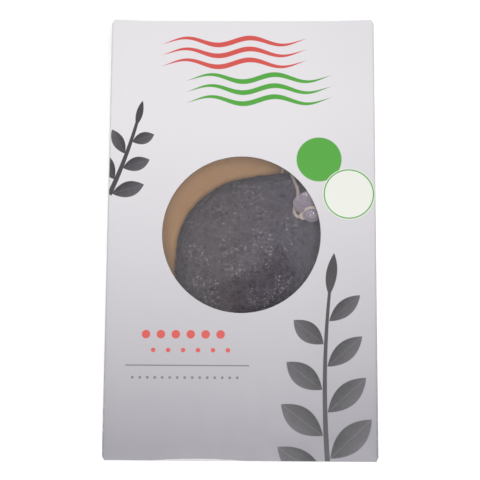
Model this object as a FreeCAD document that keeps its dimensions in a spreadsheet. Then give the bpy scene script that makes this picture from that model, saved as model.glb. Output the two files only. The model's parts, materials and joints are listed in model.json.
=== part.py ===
import FreeCAD, Part
import math
import os

import Sketcher
from FreeCAD import Placement, Rotation, Vector

# Boxed konjac sponge: a windowed tuck-end carton that holds a konjac sponge
# with a hanging cord and a clear suction cup.
# The carton lies on its back: X to the right, Y to its top end, Z out of its front.
# The origin is the middle of the back face. All sizes are in millimetres.

doc = FreeCAD.newDocument("BoxedSponge")
sheet = doc.addObject("Spreadsheet::Sheet", "Sizes")


class Size:
    """A number together with the expression that ties it to the sheet."""

    def __init__(self, value, text):
        self.value = value
        self.text = text

    def __add__(self, other):
        other = as_size(other)
        return Size(self.value + other.value, f"({self.text} + {other.text})")

    def __sub__(self, other):
        other = as_size(other)
        return Size(self.value - other.value, f"({self.text} - {other.text})")

    def __mul__(self, other):
        other = as_size(other)
        return Size(self.value * other.value, f"({self.text} * {other.text})")

    def __truediv__(self, other):
        other = as_size(other)
        return Size(self.value / other.value, f"({self.text} / {other.text})")

    def __neg__(self):
        return Size(-self.value, f"(0 - {self.text})")


def as_size(number):
    """Give a plain number the form of a size."""
    if isinstance(number, Size):
        return number
    return Size(float(number), repr(float(number)))


ZERO = as_size(0)
sheet_rows = []


def cell(alias, value):
    """Write one driving dimension into the sheet and give it back as a size."""
    sheet_rows.append(alias)
    row = len(sheet_rows)
    sheet.set(f"A{row}", alias)
    sheet.set(f"B{row}", str(value))
    sheet.setAlias(f"B{row}", alias)
    return Size(float(value), f"Sizes.{alias}")


# Driving dimensions of the carton
width = cell("carton_width", 95)
height = cell("carton_height", 158)
depth = cell("carton_depth", 36)
board = cell("board_thickness", 0.45)
crease = cell("crease_radius", 0.9)
crease_lip = cell("crease_lip", 0.3)
crease_gap = cell("crease_gap", 0.3)
front_edge_inset = cell("front_edge_inset", 0.2)
relief_depth = cell("front_relief_depth", 0.5)
relief_width = cell("front_relief_width", 68)
thumb_cut_width = cell("thumb_cut_width", 32)
thumb_cut_depth = cell("thumb_cut_depth", 0.6)
thumb_cut_left = cell("thumb_cut_left_of_centre", 14)
seam_step = cell("seam_step", 0.25)
glue_flap_width = cell("glue_flap_width", 13)
glue_flap_end = cell("glue_flap_end", 6)
glue_flap_taper = cell("glue_flap_taper", 7)
window_diameter = cell("window_diameter", 56)
film_side = cell("film_side", 74)
film_thickness = cell("film_thickness", 0.12)

# Driving dimensions of the tuck-end closures
lid_side_gap = cell("lid_side_gap", 0.4)
tuck_front_gap = cell("tuck_front_gap", 0.8)
tuck_length = cell("tuck_length", 13)
tuck_side_gap = cell("tuck_side_gap", 1.2)
tuck_corner = cell("tuck_corner_radius", 9)
dust_lid_gap = cell("dust_flap_lid_gap", 0.2)
dust_length = cell("dust_flap_length", 26)
dust_back_inset = cell("dust_flap_back_inset", 1.6)
dust_back_slope = cell("dust_flap_back_slope", 0.56)
dust_front_inset = cell("dust_flap_front_inset", 2.8)
dust_front_slope = cell("dust_flap_front_slope", 0.13)
dust_corner = cell("dust_flap_corner_radius", 3)

# Driving dimensions of the sponge
sponge_radius = cell("sponge_radius", 32)
sponge_height = cell("sponge_height", 20.5)
sponge_foot = cell("sponge_foot_radius", 27)
sponge_rim = cell("sponge_rim_height", 9)
sponge_shoulder = cell("sponge_shoulder_radius", 8)
sponge_right = cell("sponge_right_of_centre", 6.9)
sponge_below = cell("sponge_below_centre", 5.3)
sponge_seat_gap = cell("sponge_seat_gap", 0.15)
cord_hole_turn = cell("cord_hole_turn", 76)
cord_hole_depth = cell("cord_hole_depth", 6)
cord_hole_gap = cell("cord_hole_gap", 0.2)
cord_lead = cell("cord_lead_out_of_hole", 5)

# Driving dimensions of the suction cup and the cord
cup_radius = cell("cup_radius", 6.8)
cup_rim = cell("cup_rim_width", 0.4)
cup_rim_height = cell("cup_rim_height", 0.5)
cup_hollow = cell("cup_hollow_depth", 1.9)
cup_skirt = cell("cup_skirt_height", 3.2)
cup_neck_radius = cell("cup_neck_radius", 1.7)
cup_neck = cell("cup_neck_height", 2.2)
cup_head_radius = cell("cup_head_radius", 3.2)
cup_head_edge = cell("cup_head_edge", 0.5)
cup_head_crown = cell("cup_head_crown", 2.2)
cup_turn = cell("cup_turn", 45.6)
cup_reach = cell("cup_reach", 24.5)
cup_lean = cell("cup_lean", 58)
cup_seat_gap = cell("cup_seat_gap", 0.15)
cord_diameter = cell("cord_diameter", 1.2)
noose_gap = cell("noose_gap", 0.1)

# Places that several pieces share
half_width = width / 2
half_height = height / 2
fold = crease + crease_lip
inner_crease = crease - board
sleeve_end = half_height - fold - crease_gap
dust_face = half_height - board - dust_lid_gap
side_end = dust_face - fold - crease_gap
tuck_face = depth - board - tuck_front_gap


def origin_plane(body, role):
    """Find one of a body's own origin planes by its role."""
    for feature in body.Origin.OriginFeatures:
        if feature.Role == role:
            return feature
    raise ValueError(role)


def new_body(label):
    """Start a sub-part under its label."""
    body = doc.addObject("PartDesign::Body", label)
    body.Label = label
    return body


def place(body, right, up, out):
    """Tie the place of a body's own origin to the sheet."""
    for axis, size in zip("xyz", (right, up, out)):
        body.setExpression(f"Placement.Base.{axis}", as_size(size).text)


def new_sketch(body, name, role, offset=ZERO):
    """Start a sketch on one of the body's planes, moved along the plane's normal."""
    sketch = body.newObject("Sketcher::SketchObject", name)
    sketch.AttachmentSupport = [(origin_plane(body, role), "")]
    sketch.MapMode = "FlatFace"
    sketch.setExpression("AttachmentOffset.Base.z", offset.text)
    return sketch


def tie(sketch, kind, targets, size):
    """Add a dimension to a sketch and bind it to its size."""
    index = sketch.addConstraint(Sketcher.Constraint(kind, *targets, size.value))
    sketch.setExpression(f"Constraints[{index}]", size.text)


def side_curve(start, end, radius):
    """Give a straight side, or an arc that bulges to the right of its way where a radius is set.

    A negative radius bulges to the left. Second value: whether the curve starts at the side's start.
    """
    if radius is None:
        return Part.LineSegment(start, end), True
    way = end - start
    bulge = 1 if radius.value > 0 else -1
    left = Vector(-way.y, way.x, 0).normalize() * bulge
    rise = math.sqrt(radius.value ** 2 - (way.Length / 2) ** 2)
    centre = (start + end) / 2 + left * rise
    first, last = (start, end) if bulge > 0 else (end, start)
    circle = Part.Circle(centre, Vector(0, 0, 1), abs(radius.value))
    from_angle = math.atan2(first.y - centre.y, first.x - centre.x)
    to_angle = math.atan2(last.y - centre.y, last.x - centre.x)
    return Part.ArcOfCircle(circle, from_angle, to_angle), bulge > 0


def draw_outline(sketch, corners, arcs=None):
    """Draw a closed outline through corners, pairs of sizes, with each corner tied to the sheet.

    arcs gives the radius of the side that follows a corner, by the corner's index.
    """
    arcs = arcs or {}
    corners = [(as_size(across), as_size(along)) for across, along in corners]
    points = [Vector(across.value, along.value, 0) for across, along in corners]
    ends = []
    for index, point in enumerate(points):
        radius = arcs.get(index)
        curve, forward = side_curve(point, points[(index + 1) % len(points)], radius)
        side = sketch.addGeometry(curve, False)
        ends.append(((side, 1), (side, 2)) if forward else ((side, 2), (side, 1)))
        if radius is not None:
            tie(sketch, "Radius", (side,), radius if radius.value > 0 else -radius)
    for index, (across, along) in enumerate(corners):
        start = ends[index][0]
        sketch.addConstraint(Sketcher.Constraint("Coincident", *ends[index - 1][1], *start))
        for kind, axis, size in (("DistanceX", -2, across), ("DistanceY", -1, along)):
            if size is ZERO:
                sketch.addConstraint(Sketcher.Constraint("PointOnObject", *start, axis))
            else:
                tie(sketch, kind, (-1, 1, *start), size)


def pad(body, name, sketch, length):
    """Raise a sketch along its plane's normal."""
    feature = body.newObject("PartDesign::Pad", name)
    feature.Profile = sketch
    feature.setExpression("Length", length.text)
    doc.recompute()
    return feature


def pocket(body, name, sketch, reverse=False):
    """Cut a sketch through the body, against its plane's normal, and make sure that it cuts."""
    before = body.Shape.Volume
    feature = body.newObject("PartDesign::Pocket", name)
    feature.Profile = sketch
    feature.Type = "ThroughAll"
    feature.Reversed = reverse
    doc.recompute()
    if not body.Shape.Volume < before:
        raise ValueError(f"{body.Label}: {name} cuts nothing")
    return feature


def edges_along(feature, axis, places):
    """Name the straight edges along an axis (0 for X, 1 for Y, 2 for Z) at places on the other two."""
    others = [index for index in range(3) if index != axis]
    names = []
    for index, edge in enumerate(feature.Shape.Edges, start=1):
        ends = [vertex.Point for vertex in edge.Vertexes]
        for spot in places:
            misses = [abs(end[other] - size.value) for end in ends for other, size in zip(others, spot)]
            if len(ends) == 2 and max(misses) < 1e-4:
                names.append(f"Edge{index}")
    if len(names) != len(places):
        raise ValueError(f"{feature.Name}: {len(names)} edges for {len(places)} places")
    return names


def fillet(body, name, base, axis, places, radius):
    """Round the edges of a feature along one axis."""
    feature = body.newObject("PartDesign::Fillet", name)
    feature.Base = (base, edges_along(base, axis, places))
    feature.setExpression("Radius", radius.text)
    doc.recompute()
    return feature


def rectangle(left, right, bottom, top):
    """Corners of a rectangle."""
    return [(left, bottom), (right, bottom), (right, top), (left, top)]


def panel(label, role, offset, corners, thickness):
    """A flat sheet cut to an outline."""
    body = new_body(label)
    sketch = new_sketch(body, label + "_outline", role, offset)
    draw_outline(sketch, corners)
    pad(body, label + "_sheet", sketch, thickness)
    return body


def creased_flap(label, root, blade, blade_arcs=None):
    """A flap with the fold that joins it to its neighbour.

    In its own frame the outer corner of the fold is the X axis, the blade runs along +Y with its
    outer face on z = 0, and the fold's other leg runs down -Z. root is the fold's stretch along X.
    """
    body = new_body(label)
    profile = new_sketch(body, label + "_fold_profile", "YZ_Plane", root[0])
    legs = [(ZERO, ZERO), (ZERO, -fold), (board, -fold), (board, -board), (fold, -board), (fold, ZERO)]
    draw_outline(profile, legs)
    strip = pad(body, label + "_fold", profile, root[1] - root[0])
    outer = fillet(body, label + "_outer_crease", strip, 0, [(ZERO, ZERO)], crease)
    fillet(body, label + "_inner_crease", outer, 0, [(board, -board)], inner_crease)
    sketch = new_sketch(body, label + "_outline", "XY_Plane", -board)
    draw_outline(sketch, blade, blade_arcs)
    pad(body, label + "_blade", sketch, board)
    return body


def build_front_panel():
    """The printed front with both of its side creases, the window, a relieved top edge and a thumb cut."""
    body = new_body("front_panel")
    end = half_height - front_edge_inset
    back = depth - fold
    inner = depth - board
    wall = half_width - board
    profile = new_sketch(body, "front_profile", "XZ_Plane", -end)
    corners = [
        (-half_width, back), (-wall, back), (-wall, inner), (wall, inner),
        (wall, back), (half_width, back), (half_width, depth), (-half_width, depth),
    ]
    draw_outline(profile, corners)
    sheet_pad = pad(body, "front_sheet", profile, end * 2)
    outer = [(-half_width, depth), (half_width, depth)]
    rounded = fillet(body, "front_outer_creases", sheet_pad, 1, outer, crease)
    fillet(body, "front_inner_creases", rounded, 1, [(-wall, inner), (wall, inner)], inner_crease)
    window = new_sketch(body, "window_circle", "XY_Plane", depth)
    window.addGeometry(Part.Circle(Vector(), Vector(0, 0, 1), window_diameter.value / 2), False)
    window.addConstraint(Sketcher.Constraint("Coincident", 0, 3, -1, 1))
    tie(window, "Diameter", (0,), window_diameter)
    pocket(body, "window", window)
    half_relief = relief_width / 2
    corner = half_width - fold
    relief = new_sketch(body, "top_relief_outline", "XY_Plane", depth)
    floor = end - relief_depth
    clear = end + relief_depth
    outline = [
        (-half_relief, floor), (half_relief, floor), (corner, end),
        (corner, clear), (-corner, clear), (-corner, end),
    ]
    draw_outline(relief, outline)
    pocket(body, "top_relief", relief)
    half_cut = thumb_cut_width / 2
    cut_arc = (half_cut * half_cut + thumb_cut_depth * thumb_cut_depth) / (thumb_cut_depth * 2)
    thumb_cut = new_sketch(body, "thumb_cut_outline", "XY_Plane", depth)
    cut_ends = [(-half_cut - thumb_cut_left, -end), (half_cut - thumb_cut_left, -end)]
    draw_outline(thumb_cut, cut_ends, {0: -cut_arc})
    pocket(body, "thumb_cut", thumb_cut)


def build_back_panel():
    """The back with the crease to the left side."""
    body = new_body("back_panel")
    right = half_width - board - fold
    wall = half_width - board
    profile = new_sketch(body, "back_profile", "XZ_Plane", -sleeve_end)
    corners = [
        (-half_width, ZERO), (right, ZERO), (right, board),
        (-wall, board), (-wall, fold), (-half_width, fold),
    ]
    draw_outline(profile, corners)
    sheet_pad = pad(body, "back_sheet", profile, sleeve_end * 2)
    outer = fillet(body, "back_outer_crease", sheet_pad, 1, [(-half_width, ZERO)], crease)
    fillet(body, "back_inner_crease", outer, 1, [(-wall, board)], inner_crease)


def build_sleeve():
    """The panels that are glued into a sleeve, and the window film."""
    build_front_panel()
    build_back_panel()
    front = depth - fold
    left = rectangle(-side_end, side_end, fold, front)
    panel("left_side_panel", "YZ_Plane", -half_width, left, board)
    right = rectangle(-side_end, side_end, seam_step, front)
    panel("right_side_panel", "YZ_Plane", half_width - board, right, board)
    glue_end = half_height - glue_flap_end
    glue_tip = glue_end - glue_flap_taper
    blade = [(-glue_end, fold), (glue_end, fold), (glue_tip, glue_flap_width), (-glue_tip, glue_flap_width)]
    glue = creased_flap("glue_flap", (-glue_end, glue_end), blade)
    glue.Placement = Placement(Vector(), Rotation(Vector(0, 1, 0), Vector(0, 0, 1), Vector(1, 0, 0), "XYZ"))
    place(glue, half_width - board, 0, 0)
    half_film = film_side / 2
    film = rectangle(-half_film, half_film, -half_film, half_film)
    panel("window_film", "XY_Plane", depth - board - film_thickness, film, film_thickness)


def tuck_blade():
    """Outline of a tuck flap: a tongue with two round corners."""
    half = half_width - tuck_side_gap
    inner = half - tuck_corner
    start = tuck_length - tuck_corner
    corners = [
        (-half, fold), (half, fold), (half, start),
        (inner, tuck_length), (-inner, tuck_length), (-half, start),
    ]
    return corners, {2: tuck_corner, 4: tuck_corner}


def dust_blade(side):
    """Outline of a dust flap, tapered on both edges, with round tip corners.

    Height above the back face runs along X for the left flap and against it for the right one.
    """
    back = dust_back_inset + dust_back_slope * dust_length
    front = depth - dust_front_inset - dust_front_slope * dust_length
    heights = [
        (dust_back_inset + dust_back_slope * fold, fold),
        (depth - dust_front_inset - dust_front_slope * fold, fold),
        (front + dust_front_slope * dust_corner, dust_length - dust_corner),
        (front - dust_corner, dust_length),
        (back + dust_corner, dust_length),
        (back - dust_back_slope * dust_corner, dust_length - dust_corner),
    ]
    corners = [(up * side, out) for up, out in heights]
    bulge = dust_corner * side * 1.2
    return corners, {2: bulge, 4: bulge}


def build_closure(end, half_turn):
    """The lid, its tuck flap and the two dust flaps of one end; the bottom is the top turned half round."""
    turn = Placement(Vector(), Rotation(Vector(0, 0, 1), half_turn))
    sign = 1 if half_turn == 0 else -1
    lid_half = half_width - lid_side_gap
    lid_edge = tuck_face - fold - crease_gap
    lid = creased_flap(f"{end}_lid", (-lid_half, lid_half), rectangle(-lid_half, lid_half, fold, lid_edge))
    stand = Rotation(Vector(-1, 0, 0), Vector(0, 0, 1), Vector(0, 1, 0), "XYZ")
    lid.Placement = turn * Placement(Vector(), stand)
    place(lid, 0, half_height * sign, 0)

    tuck_half = half_width - tuck_side_gap
    tuck = creased_flap(f"{end}_tuck_flap", (-tuck_half, tuck_half), *tuck_blade())
    hang = Rotation(Vector(-1, 0, 0), Vector(0, -1, 0), Vector(0, 0, 1), "XYZ")
    tuck.Placement = turn * Placement(Vector(), hang)
    place(tuck, 0, half_height * sign, tuck_face)

    lower = dust_back_inset + dust_back_slope * fold
    upper = depth - dust_front_inset - dust_front_slope * fold
    lean_right = Rotation(Vector(0, 0, 1), Vector(1, 0, 0), Vector(0, 1, 0), "XYZ")
    lean_left = Rotation(Vector(0, 0, -1), Vector(-1, 0, 0), Vector(0, 1, 0), "XYZ")
    for side, rotation, wall in ((1, lean_right, -half_width), (-1, lean_left, half_width)):
        hand = "left" if side * sign > 0 else "right"
        span = (lower, upper) if side > 0 else (-upper, -lower)
        flap = creased_flap(f"{end}_{hand}_dust_flap", span, *dust_blade(side))
        flap.Placement = turn * Placement(Vector(), rotation)
        place(flap, wall * sign, dust_face * sign, 0)


# Arcs of the sponge's outline, shared with what sits on it
foot_in = sponge_radius - sponge_foot
side_arc = (foot_in * foot_in + sponge_rim * sponge_rim) / (foot_in * 2)
shoulder_in = sponge_radius - sponge_shoulder
crown_rise = sponge_height - sponge_rim
crown_arc = (
    (shoulder_in * shoulder_in + crown_rise * crown_rise - sponge_shoulder * sponge_shoulder)
    / ((crown_rise - sponge_shoulder) * 2)
)
crown_centre = sponge_height - crown_arc
sponge_seat = board + sponge_seat_gap


def build_sponge():
    """A low round puff with a flat foot, a drawn-in side, a round shoulder and a crown."""
    body = new_body("sponge")
    profile = new_sketch(body, "sponge_profile", "XZ_Plane")
    reach = crown_arc - sponge_shoulder
    meet_across = shoulder_in + sponge_shoulder * shoulder_in / reach
    meet_up = sponge_rim + sponge_shoulder * (sponge_rim - crown_centre) / reach
    corners = [
        (ZERO, ZERO), (sponge_foot, ZERO), (sponge_radius, sponge_rim),
        (meet_across, meet_up), (ZERO, sponge_height),
    ]
    draw_outline(profile, corners, {1: side_arc, 2: sponge_shoulder, 3: crown_arc})
    turned = body.newObject("PartDesign::Revolution", "sponge_puff")
    turned.Profile = profile
    turned.ReferenceAxis = (profile, ["V_Axis"])
    turned.Angle = 360
    doc.recompute()
    hole = new_sketch(body, "cord_hole_circle", "YZ_Plane", sponge_radius - cord_hole_depth)
    radius = cord_diameter / 2 + cord_hole_gap
    hole.addGeometry(Part.Circle(Vector(0, sponge_rim.value, 0), Vector(0, 0, 1), radius.value), False)
    hole.addConstraint(Sketcher.Constraint("PointOnObject", 0, 3, -2))
    tie(hole, "DistanceY", (-1, 1, 0, 3), sponge_rim)
    tie(hole, "Radius", (0,), radius)
    pocket(body, "cord_hole", hole, reverse=True)
    body.Placement = Placement(Vector(), Rotation(Vector(0, 0, 1), cord_hole_turn.value))
    place(body, sponge_right, -sponge_below, sponge_seat)


def cup_frame():
    """Place of the cup: tipped over on the edge of its rim, with its head towards the carton's bottom end.

    The rim's circle comes as near to the round crown as the seat gap.
    """
    tip = Rotation(Vector(1, 0, 0), cup_lean.value)
    axis = tip.multVec(Vector(0, 0, 1))
    slope = math.asin(cup_reach.value / crown_arc.value)
    turn = Rotation(Vector(0, 0, 1), cup_turn.value)
    way = turn.multVec(Vector(math.sin(slope), 0, math.cos(slope)))
    along = way.dot(axis)
    across = math.sqrt(1 - along ** 2)
    rim = cup_radius.value
    clear = (crown_arc + cup_seat_gap).value
    stand = across * rim + math.sqrt(clear ** 2 - (along * rim) ** 2)
    middle = Vector(sponge_right.value, -sponge_below.value, (sponge_seat + crown_centre).value)
    return Placement(middle + way * stand, tip)


def build_suction_cup():
    """A clear cup turned about its axis: thin skirt, waisted neck and a domed head."""
    body = new_body("suction_cup")
    profile = new_sketch(body, "cup_profile", "XZ_Plane")
    hollow = cup_radius - cup_rim
    neck_top = cup_skirt + cup_neck
    head_side = neck_top + cup_head_edge
    top = head_side + cup_head_crown
    corners = [
        (ZERO, cup_hollow), (hollow, ZERO), (cup_radius, ZERO), (cup_radius, cup_rim_height),
        (cup_neck_radius, cup_skirt), (cup_neck_radius, neck_top), (cup_head_radius, head_side), (ZERO, top),
    ]
    hollow_arc = (hollow * hollow + cup_hollow * cup_hollow) / (cup_hollow * 2)
    skirt_arc = (cup_radius * cup_radius + cup_skirt * cup_skirt) / (cup_skirt * 2)
    head_arc = (cup_head_radius * cup_head_radius + cup_head_crown * cup_head_crown) / (cup_head_crown * 2)
    draw_outline(profile, corners, {0: -hollow_arc, 3: skirt_arc, 6: head_arc})
    turned = body.newObject("PartDesign::Revolution", "cup_body")
    turned.Profile = profile
    turned.ReferenceAxis = (profile, ["V_Axis"])
    turned.Angle = 360
    body.Placement = cup_frame()


def build_cord():
    """The noose round the cup's neck and the cord from it to the hole in the sponge."""
    noose = doc.addObject("Part::Torus", "cord_noose")
    noose.Label = "cord_noose"
    cord_radius = cord_diameter / 2
    noose_radius = cup_neck_radius + noose_gap + cord_radius
    noose.setExpression("Radius1", noose_radius.text)
    noose.setExpression("Radius2", cord_radius.text)
    frame = cup_frame()
    neck_middle = Vector(0, 0, (cup_skirt + cup_neck / 2).value)
    noose.Placement = Placement(frame.multVec(neck_middle), frame.Rotation)

    hole_way = Rotation(Vector(0, 0, 1), cord_hole_turn.value).multVec(Vector(1, 0, 0))
    rim_centre = Vector(sponge_right.value, -sponge_below.value, (sponge_seat + sponge_rim).value)
    hole_end = rim_centre + hole_way * (sponge_radius - cord_hole_depth + cord_hole_gap).value
    hole_lead = rim_centre + hole_way * (sponge_radius + cord_lead).value
    cord_start = frame.multVec(neck_middle + Vector(-0.87, -0.5, 0).normalize() * noose_radius.value)
    # From the neck the cord passes under the raised rim and over the sponge's edge to its loop
    route = [
        cord_start,
        Vector(22.0, 8.7, 23.4),
        Vector(20.1, 8.7, 21.0),
        Vector(18.6, 11.4, 19.8),
        Vector(20.9, 18.5, 19.2),
        Vector(19.4, 22.2, 18.0),
        Vector(18.0, 26.2, 15.0),
        Vector(18.6, 30.8, 9.4),
        Vector(23.0, 35.8, 3.2),
        Vector(31.0, 42.0, 1.4),
        Vector(35.0, 50.0, 1.4),
        Vector(31.5, 58.0, 1.4),
        Vector(22.5, 61.5, 1.4),
        Vector(13.5, 58.0, 1.4),
        Vector(9.0, 50.0, 1.4),
        Vector(10.0, 42.5, 1.8),
        Vector(13.2, 36.6, 5.4),
        hole_lead,
        hole_end,
    ]
    print("cord start", tuple(round(v, 2) for v in cord_start), "end", tuple(round(v, 2) for v in hole_end))
    path, length = rounded_path(route)
    section = Part.Wire(Part.Circle(route[0], route[1] - route[0], cord_radius.value).toShape())
    cord = doc.addObject("Part::Feature", "hanging_cord")
    cord.Label = "hanging_cord"
    cord.Shape = path.makePipeShell([section], True, False)
    ideal = math.pi * cord_radius.value ** 2 * length
    print(f"cord length {length:.1f}, volume {cord.Shape.Volume:.1f} against {ideal:.1f}")


def rounded_path(route):
    """Join straight runs by tangent arcs, each as large as its two runs allow."""
    share = 0.45
    edges = []
    length = 0
    last = route[0]
    radii = []
    for before, corner, after in zip(route, route[1:], route[2:]):
        back = before - corner
        ahead = after - corner
        turn = math.pi - back.getAngle(ahead)
        reach = share * min(back.Length, ahead.Length)
        radius = reach / math.tan(turn / 2)
        radii.append(round(radius, 1))
        back.normalize()
        ahead.normalize()
        start = corner + back * reach
        end = corner + ahead * reach
        inward = (back + ahead).normalize()
        middle = corner + inward * (radius / math.cos(turn / 2) - radius)
        edges.append(Part.LineSegment(last, start).toShape())
        edges.append(Part.Arc(start, middle, end).toShape())
        length += (start - last).Length + radius * turn
        last = end
    edges.append(Part.LineSegment(last, route[-1]).toShape())
    length += (route[-1] - last).Length
    print("cord radii", radii)
    return Part.Wire(edges), length


build_sleeve()
build_closure("top", 0)
build_closure("bottom", 180)
build_sponge()
build_suction_cup()
build_cord()
doc.recompute()

# Every object is sound before anything is written
for item in doc.Objects:
    if {"Invalid", "Error"} & set(item.State):
        raise RuntimeError(f"{item.Label} failed: {item.State}")

nodes = [item for item in doc.Objects if item.TypeId in ("PartDesign::Body", "Part::Torus", "Part::Feature")]
os.makedirs("parts", exist_ok=True)
for item in nodes:
    if item.Shape.isNull() or not item.Shape.isValid():
        raise RuntimeError(f"{item.Label} has no sound shape")
for item in nodes:
    item.Shape.exportStep(f"parts/{item.Label}.step")
print(len(nodes), "nodes")
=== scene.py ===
import json
import logging
import math
from abc import ABC, abstractmethod
from collections.abc import Callable
from dataclasses import dataclass
from enum import Enum
from functools import partial, reduce
from typing import Any

import bmesh
import bpy
import numpy as np
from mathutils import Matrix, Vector


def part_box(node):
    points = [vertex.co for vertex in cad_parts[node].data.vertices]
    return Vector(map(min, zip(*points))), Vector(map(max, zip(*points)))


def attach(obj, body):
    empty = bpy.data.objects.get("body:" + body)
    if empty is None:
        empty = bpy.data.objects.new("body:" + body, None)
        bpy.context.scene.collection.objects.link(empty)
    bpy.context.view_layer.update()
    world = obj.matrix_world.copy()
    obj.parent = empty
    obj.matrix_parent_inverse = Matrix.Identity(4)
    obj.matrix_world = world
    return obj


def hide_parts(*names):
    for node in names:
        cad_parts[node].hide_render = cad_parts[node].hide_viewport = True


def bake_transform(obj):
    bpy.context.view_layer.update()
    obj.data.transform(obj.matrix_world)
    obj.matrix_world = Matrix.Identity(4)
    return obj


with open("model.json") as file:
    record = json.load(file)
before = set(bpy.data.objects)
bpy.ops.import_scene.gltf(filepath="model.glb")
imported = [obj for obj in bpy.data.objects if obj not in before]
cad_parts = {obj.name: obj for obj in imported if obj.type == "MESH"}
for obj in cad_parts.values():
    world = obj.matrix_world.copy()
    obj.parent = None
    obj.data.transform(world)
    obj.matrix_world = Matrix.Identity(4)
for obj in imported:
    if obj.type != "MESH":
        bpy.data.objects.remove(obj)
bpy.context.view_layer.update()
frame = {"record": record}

log = logging.getLogger("sponge_carton")
# Sizes are in millimetres unless a docstring says otherwise; MM is one of them in metres
MM = 0.001
BEND_STEPS = 8
WINDOW_RADIUS = 28.0
ALL_SMOOTH = 180.0
TINY = 1e-6
Array = np.ndarray
Spot = tuple[float, float]
Triple = tuple[float, float, float]
Colour = Triple
Values = dict[str, Any]
Socket = bpy.types.NodeSocket


class Face(Enum):
    """Which finish of a sheet of board a face has."""

    OUTSIDE = 0
    INSIDE = 1
    CUT_EDGE = 2


class End(Enum):
    """The carton's two ends, as the sign of y."""

    TOP = 1
    BOTTOM = -1


class Hand(Enum):
    """The carton's two sides, as the sign of x."""

    LEFT = -1
    RIGHT = 1


# Sizes and colours

def in_mm(node: str) -> tuple[Array, Array]:
    """Lowest and highest corner of a node of the model, in millimetres."""
    low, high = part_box(node)
    return np.array(low) / MM, np.array(high) / MM


def ink(red: int, green: int, blue: int) -> Colour:
    """Scene colour of an ink given as 0 to 255: each part raised to 2.4 after the usual offset."""
    return tuple(((part / 255 + 0.055) / 1.055) ** 2.4 for part in (red, green, blue))


def unit(vectors: Array) -> Array:
    """The vectors, each divided by its length."""
    return vectors / np.linalg.norm(vectors, axis=-1, keepdims=True)


def eased(value: Array) -> Array:
    """Smooth step from 0 to 1: 3t² - 2t³ of the value kept between 0 and 1."""
    part = np.clip(value, 0, 1)
    return part * part * (3 - 2 * part)


# Noise for soft surfaces

def lattice_values(cell: Array, seed: int) -> Array:
    """Random numbers from -1 to 1 for whole-number cells: each cell's three numbers are mixed into one.

    Args:
        cell: Whole numbers, with the three axes last.
        seed: Picks one of many mixes.

    Returns:
        One number for each cell.
    """
    spread = np.array([73856093, 19349663, 83492791], dtype=np.uint64)
    key = np.bitwise_xor.reduce(cell.astype(np.uint64) * spread, axis=-1) + np.uint64(seed * 7919)
    key ^= key >> np.uint64(13)
    key *= np.uint64(0x9E3779B97F4A7C15)
    key ^= key >> np.uint64(31)
    return (key >> np.uint64(11)).astype(float) / 2.0 ** 52 - 1


def smooth_noise(points: Array, seed: int) -> Array:
    """Noise from -1 to 1: the values at the eight corners of a point's cell, weighted by eased distance.

    Args:
        points: Places, with one cell to each unit of length.
        seed: Picks one of many patterns.

    Returns:
        One number for each point.
    """
    cell = np.floor(points).astype(np.int64)
    ease = eased(points - cell)
    total = np.zeros(points.shape[:-1])
    for corner in np.ndindex(2, 2, 2):
        step = np.array(corner)
        weight = np.prod(np.where(step == 1, ease, 1 - ease), axis=-1)
        total += weight * lattice_values(cell + step, seed)
    return total


@dataclass(frozen=True)
class Relief:
    """One layer of a wrinkled surface: the size of its noise, its height, and how narrow its ridges are."""

    size: float
    height: float
    seed: int
    sharpness: float = 0.0

    def noise(self, points: Array) -> Array:
        """The layer's noise from -1 to 1."""
        return smooth_noise(points / self.size, self.seed)

    def ridges(self, points: Array) -> Array:
        """Wrinkle lines from 0 to 1: one minus the size of the noise, raised to the sharpness."""
        return (1 - np.abs(self.noise(points))) ** self.sharpness


# Meshes

@dataclass
class Patch:
    """A grid of points in millimetres, as rows, columns and axes, and the finish of its faces."""

    points: Array
    face: Face = Face.OUTSIDE
    wraps: bool = False


def grid_quads(rows: int, columns: int, wraps: bool) -> Array:
    """Corner numbers of a grid's quads.

    Args:
        rows: Rows of points.
        columns: Points in each row.
        wraps: Whether the last column joins the first.

    Returns:
        Four corner numbers for each quad.
    """
    row = np.arange(rows - 1)[:, None] * columns
    column = np.arange(columns if wraps else columns - 1)[None, :]
    beside = (column + 1) % columns
    corners = [row + column, row + columns + column, row + columns + beside, row + beside]
    return np.stack(corners, axis=-1).reshape(-1, 4)


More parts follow.
